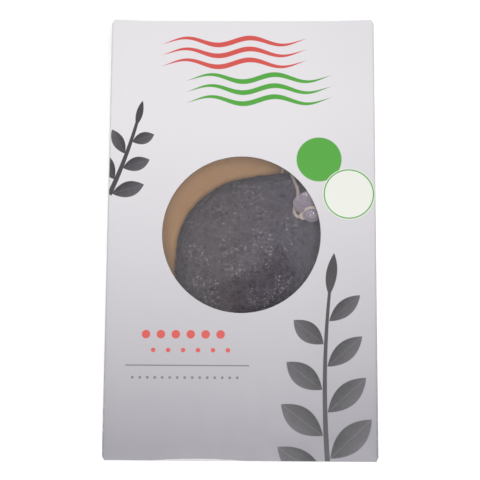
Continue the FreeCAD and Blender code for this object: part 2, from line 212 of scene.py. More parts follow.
def make_piece(
    name: str,
    patches: list[Patch],
    finishes: list[bpy.types.Material],
    marks: dict[str, Array] | None = None,
    sharp: float = 40.0,
) -> bpy.types.Object:
    """One piece: its patches are joined where their points meet, and its faces turned outwards.

    Args:
        name: The piece's name.
        patches: Its grids of points.
        finishes: Its materials, in the order of Face.
        marks: Numbers kept with the points, by name, for a material to read.
        sharp: Edges that turn by more degrees than this are shaded sharp.

    Returns:
        The piece.
    """
    points = np.concatenate([patch.points.reshape(-1, 3) for patch in patches]) * MM
    starts = np.cumsum([0] + [patch.points[..., 0].size for patch in patches])
    quads = [
        grid_quads(*patch.points.shape[:2], patch.wraps) + start
        for patch, start in zip(patches, starts)
    ]
    kinds = [np.full(len(part), patch.face.value) for part, patch in zip(quads, patches)]
    mesh = bpy.data.meshes.new(name)
    mesh.from_pydata(points.tolist(), [], np.concatenate(quads).tolist())
    mesh.polygons.foreach_set("material_index", np.concatenate(kinds).astype(np.int32))
    for mark, values in (marks or {}).items():
        attribute = mesh.attributes.new(mark, "FLOAT", "POINT")
        attribute.data.foreach_set("value", values.ravel().astype(np.float32))
    joined = bmesh.new()
    joined.from_mesh(mesh)
    bmesh.ops.remove_doubles(joined, verts=joined.verts, dist=TINY)
    bmesh.ops.recalc_face_normals(joined, faces=joined.faces)
    joined.to_mesh(mesh)
    joined.free()
    mesh.polygons.foreach_set("use_smooth", np.ones(len(mesh.polygons), dtype=bool))
    mesh.set_sharp_from_angle(angle=math.radians(sharp))
    for finish in finishes:
        mesh.materials.append(finish)
    piece = bpy.data.objects.new(name, mesh)
    bpy.context.scene.collection.objects.link(piece)
    return piece


def sheet_shell(outer: Array, inner: Array, first: bool = True, last: bool = True) -> list[Patch]:
    """Both faces of a sheet and the cut edges that join them.

    Args:
        outer: Grid of the outside.
        inner: Grid of the inside, of the same shape.
        first: Whether the first row is a cut edge.
        last: Whether the last row is a cut edge.

    Returns:
        The patches of the sheet.
    """
    rims = [(outer[:, 0], inner[:, 0]), (outer[:, -1], inner[:, -1])]
    if first:
        rims.append((outer[0], inner[0]))
    if last:
        rims.append((outer[-1], inner[-1]))
    edges = [Patch(np.stack(rim), Face.CUT_EDGE) for rim in rims]
    return [Patch(outer, Face.OUTSIDE), Patch(inner, Face.INSIDE)] + edges


def circle(middle: Array, radius: float, across: Array, aside: Array, turn: Array) -> Array:
    """Points of a circle in space: middle + radius (across cos + aside sin), at angles in radians."""
    return middle + radius * (np.cos(turn)[:, None] * across + np.sin(turn)[:, None] * aside)


def turned(profile: Array, centre: Array, axes: Array, columns: int) -> Array:
    """A profile turned about an axis: centre + radius (across cos + aside sin) + height along.

    Args:
        profile: Radius and height of each point.
        centre: Where the axis starts.
        axes: The directions across, aside and along, as rows.
        columns: Points round the axis.

    Returns:
        Grid of points that wraps.
    """
    turn = np.linspace(0, 2 * math.pi, columns, endpoint=False)
    across, aside, along = axes
    ring = circle(np.zeros(3), 1.0, across, aside, turn)
    return centre + profile[:, None, :1] * ring + profile[:, None, 1:] * along


def even_steps(line: Array, count: int) -> Array:
    """The line again as a number of points at equal steps along it, by straight interpolation.

    Args:
        line: Points of any number of axes.
        count: How many points to return.

    Returns:
        The points.
    """
    steps = np.linalg.norm(np.diff(line, axis=0), axis=1)
    travel = np.concatenate([[0], np.cumsum(steps)])
    wanted = np.linspace(0, travel[-1], count)
    return np.stack([np.interp(wanted, travel, axis) for axis in line.T], axis=1)


def arc(centre: Spot, radius: float, first: float, last: float, count: int = 24) -> Array:
    """Points of a circle's arc: centre + radius (cos, sin), between two angles in radians."""
    angle = np.linspace(first, last, count)
    return np.array(centre) + radius * np.stack([np.cos(angle), np.sin(angle)], axis=1)


# Shader maths

class Shade:
    """A number that a finish works out at each point of a surface."""

    def __init__(self, bench: "FinishBench", socket: Socket) -> None:
        """Keeps the socket and the bench that its nodes are laid out on."""
        self.bench = bench
        self.socket = socket

    def __add__(self, other: "Shade | float") -> "Shade":
        """This plus the other."""
        return self.bench.math("ADD", self, other)

    def __radd__(self, other: float) -> "Shade":
        """The other plus this."""
        return self.bench.math("ADD", other, self)

    def __sub__(self, other: "Shade | float") -> "Shade":
        """This minus the other."""
        return self.bench.math("SUBTRACT", self, other)

    def __rsub__(self, other: float) -> "Shade":
        """The other minus this."""
        return self.bench.math("SUBTRACT", other, self)

    def __mul__(self, other: "Shade | float") -> "Shade":
        """This times the other."""
        return self.bench.math("MULTIPLY", self, other)

    def __rmul__(self, other: float) -> "Shade":
        """The other times this."""
        return self.bench.math("MULTIPLY", other, self)

    def __truediv__(self, other: "Shade | float") -> "Shade":
        """This divided by the other."""
        return self.bench.math("DIVIDE", self, other)

    def __pow__(self, other: float) -> "Shade":
        """This raised to a power."""
        return self.bench.math("POWER", self, other)

    def __abs__(self) -> "Shade":
        """The size of this without its sign."""
        return self.bench.math("ABSOLUTE", self)

    def rise(self, low: float, high: float) -> "Shade":
        """Smooth step from 0 at low to 1 at high; a low above the high turns it round."""
        sockets = {"Value": self, "From Min": low, "From Max": high}
        return self.bench.shade("ShaderNodeMapRange", {"interpolation_type": "SMOOTHSTEP"}, sockets)

    def inside(self, edge: float = 0.12) -> "Shade":
        """1 where this distance is below zero and 0 above, with a soft edge."""
        return self.rise(edge, -edge)

    def from_nearest(self, pitch: float) -> "Shade":
        """Offset from the nearest whole number of steps of a pitch."""
        return (self.bench.math("FRACT", self / pitch + 0.5) - 0.5) * pitch


class FinishBench:
    """Lays out the nodes of one finish."""

    def __init__(self, tree: bpy.types.NodeTree) -> None:
        """Starts from an empty tree."""
        self.tree = tree
        self.tree.nodes.clear()

    def add(self, kind: str, settings: Values, sockets: Values) -> bpy.types.Node:
        """Adds a node.

        Args:
            kind: The node's type.
            settings: Its properties, which are set first.
            sockets: A value or a link for each named socket.

        Returns:
            The node.
        """
        node = self.tree.nodes.new(kind)
        for name, value in settings.items():
            setattr(node, name, value)
        for name, value in sockets.items():
            socket = next(each for each in node.inputs if each.name == name and each.enabled)
            self.feed(socket, value)
        return node

    def shade(self, kind: str, settings: Values, sockets: Values, output: str | int = 0) -> Shade:
        """Adds a node and gives one of its outputs as a shade, the first unless another is named."""
        return Shade(self, self.add(kind, settings, sockets).outputs[output])

    def feed(self, socket: Socket, value: Any) -> None:
        """Links a shade or socket to an input, or sets the input's value.

        Args:
            socket: The input.
            value: What it gets; a colour is given without its alpha.
        """
        if isinstance(value, Shade):
            value = value.socket
        if isinstance(value, Socket):
            self.tree.links.new(value, socket)
        elif socket.type == "RGBA":
            socket.default_value = (*value, 1.0)
        else:
            socket.default_value = value

    def add_in_order(self, kind: str, settings: Values, *values: Any) -> Socket:
        """Adds a node whose inputs are fed in order.

        Args:
            kind: The node's type.
            settings: Its properties, which are set first.
            values: A value or a link for each input, from the first.

        Returns:
            The node's first output.
        """
        node = self.add(kind, settings, {})
        for socket, value in zip(node.inputs, values):
            self.feed(socket, value)
        return node.outputs[0]

    def math(self, operation: str, *terms: Shade | float) -> Shade:
        """Adds a Math node on up to two terms."""
        return Shade(self, self.add_in_order("ShaderNodeMath", {"operation": operation}, *terms))

    def most(self, *terms: Shade) -> Shade:
        """The largest of several shades."""
        return reduce(partial(self.math, "MAXIMUM"), terms)

    def length(self, first: Shade, second: Shade) -> Shade:
        """Distance of a point from its two offsets: the root of their squares' sum."""
        return self.math("SQRT", first * first + second * second)

    def mix(self, share: Shade | float, first: Any, second: Any) -> Socket:
        """A colour that goes from the first to the second as the share goes from 0 to 1."""
        node = self.add("ShaderNodeMix", {"data_type": "RGBA"}, {"Factor": share, "A": first, "B": second})
        return next(each for each in node.outputs if each.enabled)

    def place(self) -> Socket:
        """A point's place on the piece, in metres."""
        return self.add("ShaderNodeTexCoord", {}, {}).outputs["Object"]

    def parts(self, vector: Socket) -> tuple[Shade, Shade, Shade]:
        """The three parts of a vector."""
        outputs = self.add("ShaderNodeSeparateXYZ", {}, {"Vector": vector}).outputs
        return tuple(Shade(self, socket) for socket in outputs)

    def millimetres(self) -> tuple[Shade, Shade, Shade]:
        """A point's place on the piece along x, y and z, in millimetres."""
        return tuple(part * (1 / MM) for part in self.parts(self.place()))

    def stretched(self, factors: Triple) -> Socket:
        """A point's place with each axis multiplied by a factor."""
        return self.add_in_order("ShaderNodeVectorMath", {"operation": "MULTIPLY"}, self.place(), factors)

    def noise(self, grain: float, detail: float = 2.0, where: Socket | None = None) -> Shade:
        """Noise from 0 to 1 with grains of a size in millimetres."""
        sockets = {"Vector": where or self.place(), "Scale": 1 / (grain * MM), "Detail": detail}
        return self.shade("ShaderNodeTexNoise", {}, sockets)

    def cell_edges(self, grain: float) -> Shade:
        """Distance from the edges of random cells, in cells, for cells of a size in millimetres."""
        sockets = {"Vector": self.place(), "Scale": 1 / (grain * MM)}
        return self.shade("ShaderNodeTexVoronoi", {"feature": "DISTANCE_TO_EDGE"}, sockets)

    def mark(self, name: str) -> Shade:
        """A number kept with the piece's points."""
        return self.shade("ShaderNodeAttribute", {"attribute_name": name}, {}, "Fac")

    def facing(self, blend: float) -> Shade:
        """How far the surface turns from the view, from 0 to 1."""
        return self.shade("ShaderNodeLayerWeight", {}, {"Blend": blend}, "Facing")

    def seen(self) -> Shade:
        """1 for rays that show the surround itself: from the camera, or by gloss or clear plastic."""
        rays = ("Is Camera Ray", "Is Glossy Ray", "Is Transmission Ray")
        return self.most(*(self.shade("ShaderNodeLightPath", {}, {}, ray) for ray in rays))

    def bump(self, height: Shade, depth: float) -> Socket:
        """Normal of a surface with that height, whose depth is in millimetres."""
        return self.add("ShaderNodeBump", {}, {"Distance": depth * MM, "Height": height}).outputs[0]

    def principled(self, sockets: Values) -> Socket:
        """The main shader with the given sockets."""
        return self.add("ShaderNodeBsdfPrincipled", {}, sockets).outputs[0]

    def clear(self, tint: Colour) -> Socket:
        """A shader that lets light straight through, with a tint."""
        return self.add("ShaderNodeBsdfTransparent", {}, {"Color": tint}).outputs[0]

    def layered(self, share: Shade, under: Socket, over: Socket) -> Socket:
        """A shader that goes from the one under to the one over as the share goes from 0 to 1."""
        return self.add_in_order("ShaderNodeMixShader", {}, share, under, over)


class Finish(ABC):
    """How a surface looks; its material has the finish's name."""

    name: str

    @abstractmethod
    def shader(self, bench: FinishBench) -> Socket:
        """The finish's shader, laid out on the bench."""

    def material(self) -> bpy.types.Material:
        """Makes the finish's material.

        Returns:
            The material.
        """
        material = bpy.data.materials.new(self.name)
        material.use_nodes = True
        bench = FinishBench(material.node_tree)
        bench.add("ShaderNodeOutputMaterial", {}, {"Surface": self.shader(bench)})
        return material


# Printed figures

@dataclass(frozen=True)
class Waves:
    """Waved strokes, one above the other, that swell in the middle and taper to both ends."""

    middle: Spot
    half_length: float = 26.0
    strokes: int = 3
    pitch: float = 4.1
    half_stroke: float = 0.95
    wave_length: float = 23.0
    wave_height: float = 1.3

    def mask(self, x: Shade, y: Shade) -> Shade:
        """Finds the strokes: the height over a sine wave, from the nearest step, against the half stroke.

        Args:
            x: Place across the front.
            y: Place up the front.

        Returns:
            1 on the strokes.
        """
        off = x - self.middle[0]
        wave = x.bench.math("SINE", off * (2 * math.pi / self.wave_length)) * self.wave_height
        level = y - self.middle[1] - wave
        share = off / self.half_length
        width = self.half_stroke * (1 - share * share)
        stroke = (abs(level.from_nearest(self.pitch)) - width).inside()
        return stroke * (abs(level) - self.strokes * self.pitch / 2).inside()


@dataclass(frozen=True)
class Disc:
    """A disc, or a ring of its radius where it has the half width of a line."""

    middle: Spot
    radius: float
    half_line: float = 0.0

    def mask(self, x: Shade, y: Shade) -> Shade:
        """1 on the disc or ring, by the distance from its radius."""
        away = x.bench.length(x - self.middle[0], y - self.middle[1]) - self.radius
        return (abs(away) - self.half_line).inside() if self.half_line else away.inside()


@dataclass(frozen=True)
class Dots:
    """A row of dots at equal steps to the right."""

    start: Spot
    radius: float
    pitch: float
    count: int

    def mask(self, x: Shade, y: Shade) -> Shade:
        """Finds the dots by the distance from the nearest of their centres.

        Args:
            x: Place across the front.
            y: Place up the front.

        Returns:
            1 on the dots.
        """
        off = x - self.start[0]
        away = x.bench.length(off.from_nearest(self.pitch), y - self.start[1])
        half = self.count / 2
        row = (abs(off / self.pitch + 0.5 - half) - half).inside(0.01)
        return (away - self.radius).inside() * row


@dataclass(frozen=True)
class Rule:
    """A level line."""

    middle: Spot
    half_length: float
    half_line: float

    def mask(self, x: Shade, y: Shade) -> Shade:
        """1 on the line."""
        along, aside = abs(x - self.middle[0]), abs(y - self.middle[1])
        return (aside - self.half_line).inside() * (along - self.half_length).inside()


@dataclass(frozen=True)
class Sprig:
    """A bent stem with pointed leaves in turn on both sides, smaller towards its tip.

    The lean is from upright towards +x, in degrees, and the bend is how far the tip goes aside. Sizes of
    leaf and tip are shares of the pitch, the step between two leaves of one side.
    """

    root: Spot
    lean: float
    length: float
    bend: float
    pitch: float
    taper: float = 0.55
    half_stem: float = 0.9
    leaf_tilt: float = 38.0
    leaf_reach: float = 0.62
    half_leaf: Spot = (0.7, 0.3)
    tip_reach: float = 0.3
    half_tip: Spot = (0.5, 0.13)
    half_vein: float = 0.05
    grain_size: float = 1.2
    soft_edge: float = 0.05
    leaf_tone: float = 0.4
    stem_tone: float = 0.2

    def drawn(self, x: Shade, y: Shade) -> tuple[Shade, Shade]:
        """Draws the sprig.

        The place along and beside the stem comes from turning a point by the lean and taking the bend off.
        The place along is then cut into equal steps with one leaf on each side. A leaf is where its place
        across plus the square of its place along is under 1, each as a share of the leaf's half size. It is
        lighter towards one side, outwards and on its vein.

        Args:
            x: Place across the front.
            y: Place up the front.

        Returns:
            1 on the sprig, and how light it is there.
        """
        bench, pitch = x.bench, self.pitch
        sine, cosine = math.sin(math.radians(self.lean)), math.cos(math.radians(self.lean))
        right, up = x - self.root[0], y - self.root[1]
        along = right * sine + up * cosine
        aside = right * cosine - up * sine - along * along * (self.bend / self.length ** 2)
        side = abs(aside)
        small = 1 - along * (self.taper / self.length)
        half_row = (round(self.length / pitch) - 1) * pitch / 2
        step = along + bench.math("LESS_THAN", aside, 0.0) * (pitch / 2)
        local = (step - pitch / 2).from_nearest(pitch)
        out = side - small * (self.leaf_reach * pitch)
        tilt = math.radians(self.leaf_tilt)
        down = (out * math.cos(tilt) + local * math.sin(tilt)) / (small * (self.half_leaf[0] * pitch))
        over = (local * math.cos(tilt) - out * math.sin(tilt)) / (small * (self.half_leaf[1] * pitch))
        in_row = bench.math("LESS_THAN", abs(step - half_row), half_row)
        leaf = (abs(over) + down * down - 1).inside(self.soft_edge) * in_row
        past = (along - 2 * half_row - self.tip_reach * pitch) / (self.half_tip[0] * pitch)
        tip = (side / (self.half_tip[1] * pitch) + past * past - 1).inside(self.soft_edge)
        stem = (side - small * self.half_stem).inside() * (abs(along - half_row) - half_row).inside(0.3)
        vein = (abs(over) - self.half_vein).inside(0.04)
        grain = bench.noise(self.grain_size) - 0.5
        light = self.leaf_tone - over * 0.3 + down * 0.25 + vein * 0.3 + grain * 0.4
        return bench.most(leaf, stem, tip), light * leaf + (1 - leaf) * self.stem_tone


# Finishes, with sizes in millimetres

@dataclass(frozen=True)
class CoatedBoard(Finish):
    """White coated side of the board: faint fibres under a satin coat, duller in soft patches."""

    name: str = "coated_board"
    white: Colour = ink(233, 231, 234)
    dull: Colour = ink(214, 208, 204)
    patch_size: float = 26.0
    patch_share: float = 0.25
    roughness: float = 0.42
    roughness_spread: float = 0.12
    smear_size: float = 7.0
    fibre_size: float = 0.5
    fibre_depth: float = 0.012

    def base(self, bench: FinishBench) -> Socket:
        """Colour of the board: white, a little duller in soft patches."""
        patches = bench.noise(self.patch_size, 3.0).rise(0.35, 0.75)
        return bench.mix(patches * self.patch_share, self.white, self.dull)

    def shader(self, bench: FinishBench) -> Socket:
        """The finish's shader."""
        return bench.principled({
            "Base Color": self.base(bench),
            "Roughness": self.roughness + self.roughness_spread * bench.noise(self.smear_size),
            "Specular IOR Level": 0.35,
            "Normal": bench.bump(bench.noise(self.fibre_size, 3.0), self.fibre_depth),
        })


@dataclass(frozen=True)
class PrintedBoard(CoatedBoard):
    """The carton's outside: a front that darkens downwards and a little to the right, with printed waves,
    discs, dots and sprigs.

    An edge is a soft step between two distances from the front's face, or from the sleeve's side.
    """

    name: str = "printed_board"
    top: Colour = ink(232, 229, 233)
    foot: Colour = ink(153, 150, 158)
    fade_from: float = 52.0
    fade_over: float = 126.0
    fade_power: float = 1.45
    right_span: Spot = (8.0, 47.0)
    right_share: float = 0.06
    ground_edge: Spot = (1.4, 0.4)
    figure_edge: Spot = (0.3, 0.1)
    coral: Colour = ink(212, 82, 76)
    green: Colour = ink(78, 162, 56)
    pale: Colour = ink(236, 238, 230)
    grey: Colour = ink(120, 118, 124)
    dark_leaf: Colour = ink(28, 26, 29)
    light_leaf: Colour = ink(98, 95, 101)
    wear_edge: Spot = (1.0, 0.3)
    wear_side_edge: Spot = (0.8, 0.2)
    wear_size: float = 2.2
    wear_share: float = 0.5
    sprigs: tuple[Sprig, ...] = (
        Sprig(root=(30.0, -79.0), lean=-4.0, length=82.0, bend=10.0, pitch=15.0),
        Sprig(root=(-47.0, 14.0), lean=24.0, length=42.0, bend=-5.0, pitch=9.5),
    )

    def figures(self) -> tuple[tuple[Waves | Disc | Dots | Rule, Colour], ...]:
        """The plain figures in the order of printing, each with its ink."""
        return (
            (Waves(middle=(-3.0, 66.5)), self.coral),
            (Waves(middle=(6.0, 52.8)), self.green),
            (Disc(middle=(27.5, 27.0), radius=8.0), self.green),
            (Disc(middle=(38.0, 14.5), radius=9.2), self.pale),
            (Disc(middle=(38.0, 14.5), radius=8.7, half_line=0.22), self.green),
            (Dots(start=(-33.0, -35.5), radius=1.5, pitch=5.2, count=6), self.coral),
            (Dots(start=(-30.4, -41.0), radius=0.8, pitch=5.2, count=6), self.coral),
            (Rule(middle=(-18.5, -46.3), half_length=21.5, half_line=0.22), self.grey),
            (Dots(start=(-37.5, -50.5), radius=0.5, pitch=2.6, count=15), self.grey),
        )

    def base(self, bench: FinishBench) -> Socket:
        """Colour of the outside: plain white, a front that darkens downwards and a little to the right with
        the print on it, and wear along the front's creases.

        Args:
            bench: Where the nodes go.

        Returns:
            The colour.
        """
        half_width, _, depth = in_mm("front_panel")[1].tolist()
        x, y, z = bench.millimetres()
        below, inset = depth - z, half_width - abs(x)
        flat = below.rise(*self.figure_edge)
        # The front darkens downwards and a little towards the right.
        fade = bench.math("MAXIMUM", (self.fade_from - y) / self.fade_over, 0.0)
        aside = x.rise(*self.right_span) * self.right_share
        colour = bench.mix(fade ** self.fade_power + aside, self.top, self.foot)
        for sprig in self.sprigs:
            mask, light = sprig.drawn(x, y)
            colour = bench.mix(mask * flat, colour, bench.mix(light, self.dark_leaf, self.light_leaf))
        for figure, figure_ink in self.figures():
            colour = bench.mix(figure.mask(x, y) * flat, colour, figure_ink)
        outside = bench.mix(below.rise(*self.ground_edge), super().base(bench), colour)
        crease = inset.rise(*self.wear_side_edge) * below.rise(*self.wear_edge)
        worn = crease * bench.noise(self.wear_size, 3.0).rise(0.45, 0.7) * self.wear_share
        return bench.mix(worn, outside, self.dull)


@dataclass(frozen=True)
class BrownInside(Finish):
    """Unbleached inside of the board: warm brown with fibres and darker specks."""

    name: str = "brown_inside"
    brown: Colour = ink(198, 153, 104)
    fibre_brown: Colour = ink(189, 144, 96)
    speck: Colour = ink(148, 110, 72)
    fibre_size: float = 0.7
    fibre_stretch: Triple = (1.0, 0.6, 1.0)
    fibre_depth: float = 0.03
    cloud_size: float = 9.0
    speck_size: float = 0.45
    speck_share: float = 0.5

    def shader(self, bench: FinishBench) -> Socket:
        """Mixes two browns by fibres drawn out along the carton and by soft clouds, with specks over them.

        Args:
            bench: Where the nodes go.

        Returns:
            The shader.
        """
        along = bench.noise(self.fibre_size, 4.0, bench.stretched(self.fibre_stretch))
        clouds = bench.noise(self.cloud_size, 3.0)
        ground = bench.mix((along * 0.7 + clouds * 0.3).rise(0.35, 0.7), self.brown, self.fibre_brown)
        specks = bench.noise(self.speck_size, 1.0).rise(0.72, 0.78) * self.speck_share
        return bench.principled({
            "Base Color": bench.mix(specks, ground, self.speck),
            "Roughness": 0.8 + 0.1 * clouds,
            "Specular IOR Level": 0.2,
            "Normal": bench.bump(along, self.fibre_depth),
        })


@dataclass(frozen=True)
class CutEdge(Finish):
    """Cut edge of the board: pale, with the layers of the sheet showing as fine streaks."""

    name: str = "cut_edge"
    pale: Colour = ink(222, 217, 211)
    core: Colour = ink(186, 172, 156)
    streak_size: float = 0.35
    streak_depth: float = 0.04

    def shader(self, bench: FinishBench) -> Socket:
        """The finish's shader."""
        streaks = bench.noise(self.streak_size, 3.0)
        return bench.principled({
            "Base Color": bench.mix(streaks.rise(0.4, 0.65), self.pale, self.core),
            "Roughness": 0.75 + 0.1 * streaks,
            "Normal": bench.bump(streaks, self.streak_depth),
        })


@dataclass(frozen=True)
class ClearFilm(Finish):
    """Window film: almost clear, with a soft gloss that grows towards a glancing view."""

    name: str = "clear_film"
    tint: Colour = (0.985, 0.983, 0.99)
    gloss: Colour = (0.92, 0.91, 0.96)
    least: float = 0.04
    most: float = 0.5
    smear_size: float = 14.0
    ripple_size: float = 22.0
    ripple_depth: float = 0.1

    def shader(self, bench: FinishBench) -> Socket:
        """Lays a mirror over clear film: its share grows with the fourth power of the turn from the view.

        Args:
            bench: Where the nodes go.

        Returns:
            The shader.
        """
        mirror = bench.principled({
            "Base Color": self.gloss,
            "Metallic": 1.0,
            "Roughness": 0.04 + 0.04 * bench.noise(self.smear_size),
            "Normal": bench.bump(bench.noise(self.ripple_size, 1.0), self.ripple_depth),
        })
        share = self.least + self.most * bench.facing(0.35) ** 4
        return bench.layered(share, bench.clear(self.tint), mirror)


@dataclass(frozen=True)
class CharcoalSponge(Finish):
    """Dried sponge coloured with charcoal, with painted shade in its pits, painted highlight on its crests,
    painted glints where dry fibres catch the light, and a painted lilac reflection towards its right.
    """

    name: str = "charcoal_sponge"
    # Painted shade: the darker colour laid in the wrinkles' pits.
    painted_pit_shade: Colour = ink(51, 46, 48)
    warm_flesh: Colour = ink(79, 70, 73)
    # Painted reflection: the film's lilac sheen, laid over the flesh towards the right.
    lilac_reflection_flesh: Colour = ink(78, 70, 84)
    # Painted highlight: the lighter colour laid on the crests.
    crest_highlight: Colour = ink(98, 90, 98)
    # Painted glints: a pale colour that stands in for sparkle on dry fibres.
    painted_glint: Colour = ink(168, 164, 170)
    grain_size: float = 0.5
    grain_depth: float = 0.18
    fibre_cell: float = 0.8
    strew_size: float = 0.9
    strew_patch: float = 9.0
    # Size of the random patches and span across x of the painted lilac reflection.
    lilac_reflection_patch: float = 16.0
    lilac_reflection_span: Spot = (-14.0, 26.0)

    def shader(self, bench: FinishBench) -> Socket:
        """Mixes painted shade in the pits, flesh and painted highlight on the crests by the wrinkles'
        height, with painted glints where fibres and crests meet.

        Args:
            bench: Where the nodes go.

        Returns:
            The shader.
        """
        # The mark of nearness to the crests places painted highlight on the crests and painted shade in the
        # pits.
        height = bench.mark("crest_highlight")
        grain = bench.noise(self.grain_size, 4.0)
        fibres = bench.cell_edges(self.fibre_cell).rise(0.12, 0.03)
        strewn = bench.noise(self.strew_size, 3.0).rise(0.53, 0.62)
        patches = bench.noise(self.strew_patch, 2.0).rise(0.38, 0.62)
        # Painted glints: pale colour where fibres, scattered flecks and crests meet; the same spots also get
        # a real coat and lower roughness.
        glints = fibres * strewn * patches * height.rise(0.2, 0.5)
        # Painted reflection: the film's lilac sheen, rising towards the right and broken by random patches.
        lilac_reflection = bench.millimetres()[0].rise(*self.lilac_reflection_span) + bench.noise(self.lilac_reflection_patch) - 0.5
        flesh = bench.mix(lilac_reflection, self.warm_flesh, self.lilac_reflection_flesh)
        # Painted shade darkens the pits and painted highlight lightens the crests.
        colour = bench.mix((height + (grain - 0.5) * 0.7).rise(0.0, 0.5), self.painted_pit_shade, flesh)
        colour = bench.mix((height + (grain - 0.5) * 0.6).rise(0.5, 1.0), colour, self.crest_highlight)
        return bench.principled({
            "Base Color": bench.mix(glints, colour, self.painted_glint),
            "Roughness": 0.75 - 0.4 * glints,
            "Coat Weight": glints * 0.6,
            "Coat Roughness": 0.15,
            "Specular IOR Level": 0.4,
            "Normal": bench.bump(grain + fibres * 0.5, self.grain_depth),
        })


@dataclass(frozen=True)
class ClearCup(Finish):
    """Soft clear plastic: see-through where it is seen square on, milky and glossy towards its edges."""

    name: str = "clear_cup"
    tint: Colour = (0.93, 0.92, 0.95)
    milk: Colour = ink(236, 221, 238)
    shine: Colour = (0.97, 0.95, 0.98)
    least_milk: float = 0.19
    edge_milk: float = 0.8
    least_sheen: float = 0.05
    edge_sheen: float = 0.6
    ripple_size: float = 1.5
    ripple_depth: float = 0.9

    def shader(self, bench: FinishBench) -> Socket:
        """Lays milk over clear plastic and a mirror over both, by powers of the turn from the view.

        Args:
            bench: Where the nodes go.

        Returns:
            The shader.
        """
        facing = bench.facing(0.5)
        ripples = bench.noise(self.ripple_size)
        normal = bench.bump(ripples, self.ripple_depth)
        body = bench.principled({
            "Base Color": self.milk,
            "Roughness": 0.3 + 0.1 * ripples,
            "Normal": normal,
        })
        gloss = bench.principled({
            "Base Color": self.shine,
            "Metallic": 1.0,
            "Roughness": 0.06,
            "Normal": normal,
        })
        milky = bench.layered(self.least_milk + self.edge_milk * facing ** 1.5, bench.clear(self.tint), body)
        return bench.layered(self.least_sheen + self.edge_sheen * facing ** 2.5, milky, gloss)


@dataclass(frozen=True)
class CottonCord(Finish):
    """Undyed cotton: pale cream with darker flecks and short raised fibres."""

    name: str = "cotton_cord"
    cream: Colour = ink(230, 216, 205)
    shade: Colour = ink(180, 161, 146)
    fibre_size: float = 0.16
    fibre_depth: float = 0.06
    patch_size: float = 3.0

    def shader(self, bench: FinishBench) -> Socket:
        """Mixes cream and shade by fine fibres and soft patches.

        Args:
            bench: Where the nodes go.

        Returns:
            The shader.
        """
        fibres = bench.noise(self.fibre_size, 3.0)
        darker = (fibres * 0.6 + bench.noise(self.patch_size) * 0.4).rise(0.35, 0.7)
        return bench.principled({
            "Base Color": bench.mix(darker, self.cream, self.shade),
            "Roughness": 0.85 + 0.1 * fibres,
            "Specular IOR Level": 0.2,
            "Sheen Weight": 0.3,
            "Normal": bench.bump(fibres, self.fibre_depth),
        })


@dataclass(frozen=True)
class WhiteFloor(Finish):
    """Matt white that keeps shadows, with a glow for the same rays that show the surround."""

    name: str = "white_floor"
    white: Colour = (0.86, 0.86, 0.86)
    glow: float = 0.28

    def shader(self, bench: FinishBench) -> Socket:
        """Adds the glow to matt white.

        Args:
            bench: Where the nodes go.

        Returns:
            The shader.
        """
        matt = bench.principled({"Base Color": self.white, "Roughness": 0.9, "Specular IOR Level": 0.1})
        glow = bench.add("ShaderNodeEmission", {}, {"Strength": bench.seen() * self.glow}).outputs[0]
        return bench.add_in_order("ShaderNodeAddShader", {}, matt, glow)


# Carton

@dataclass
class FoldLine:
    """The outer line of a folded board: its points, the way out of the board, and the way travelled."""

    points: Array
    outward: Array
    travel: Array
    bends: list[int]


@dataclass
class Board:
    """The sheet that the carton is folded from."""

    finishes: list[bpy.types.Material]
    thickness: float = 0.45
    crease_radius: float = 0.9
    step: float = 1.5

    def fold(self, corners: Array) -> FoldLine:
        """Line through square corners, each rounded to a quarter circle from leg to leg.

        A quarter circle is centre + radius (out cos + way sin), where way is the leg's direction and out
        the side away from the bend.

        Args:
            corners: Ends of the legs, in the plane of the fold.

        Returns:
            The line, with the point numbers where bends start and end.
        """
        ways = unit(np.diff(corners, axis=0))
        outs = np.concatenate([-ways[1:], ways[-2:-1]])
        turn = np.linspace(0, math.pi / 2, BEND_STEPS + 1)[1:, None]
        spots, sides, bends = corners[:1], outs[:1], []
        for leg, (way, out) in enumerate(zip(ways, outs)):
            last = leg == len(ways) - 1
            start = spots[-1]
            end = corners[leg + 1] - (0 if last else self.crease_radius) * way
            count = math.ceil(np.linalg.norm(end - start) / self.step - TINY)
            share = np.linspace(0, 1, count + 1)[1:, None]
            spots = np.concatenate([spots, start + share * (end - start)])
            sides = np.concatenate([sides, np.repeat(out[None], count, axis=0)])
            if not last:
                around = np.cos(turn) * out + np.sin(turn) * way
                bends.append(len(spots) - 1)
                spots = np.concatenate([spots, end - self.crease_radius * out + self.crease_radius * around])
                sides = np.concatenate([sides, around])
                bends.append(len(spots) - 1)
        steps = np.linalg.norm(np.diff(spots, axis=0), axis=1)
        return FoldLine(spots, sides, np.concatenate([[0], np.cumsum(steps)]), bends)


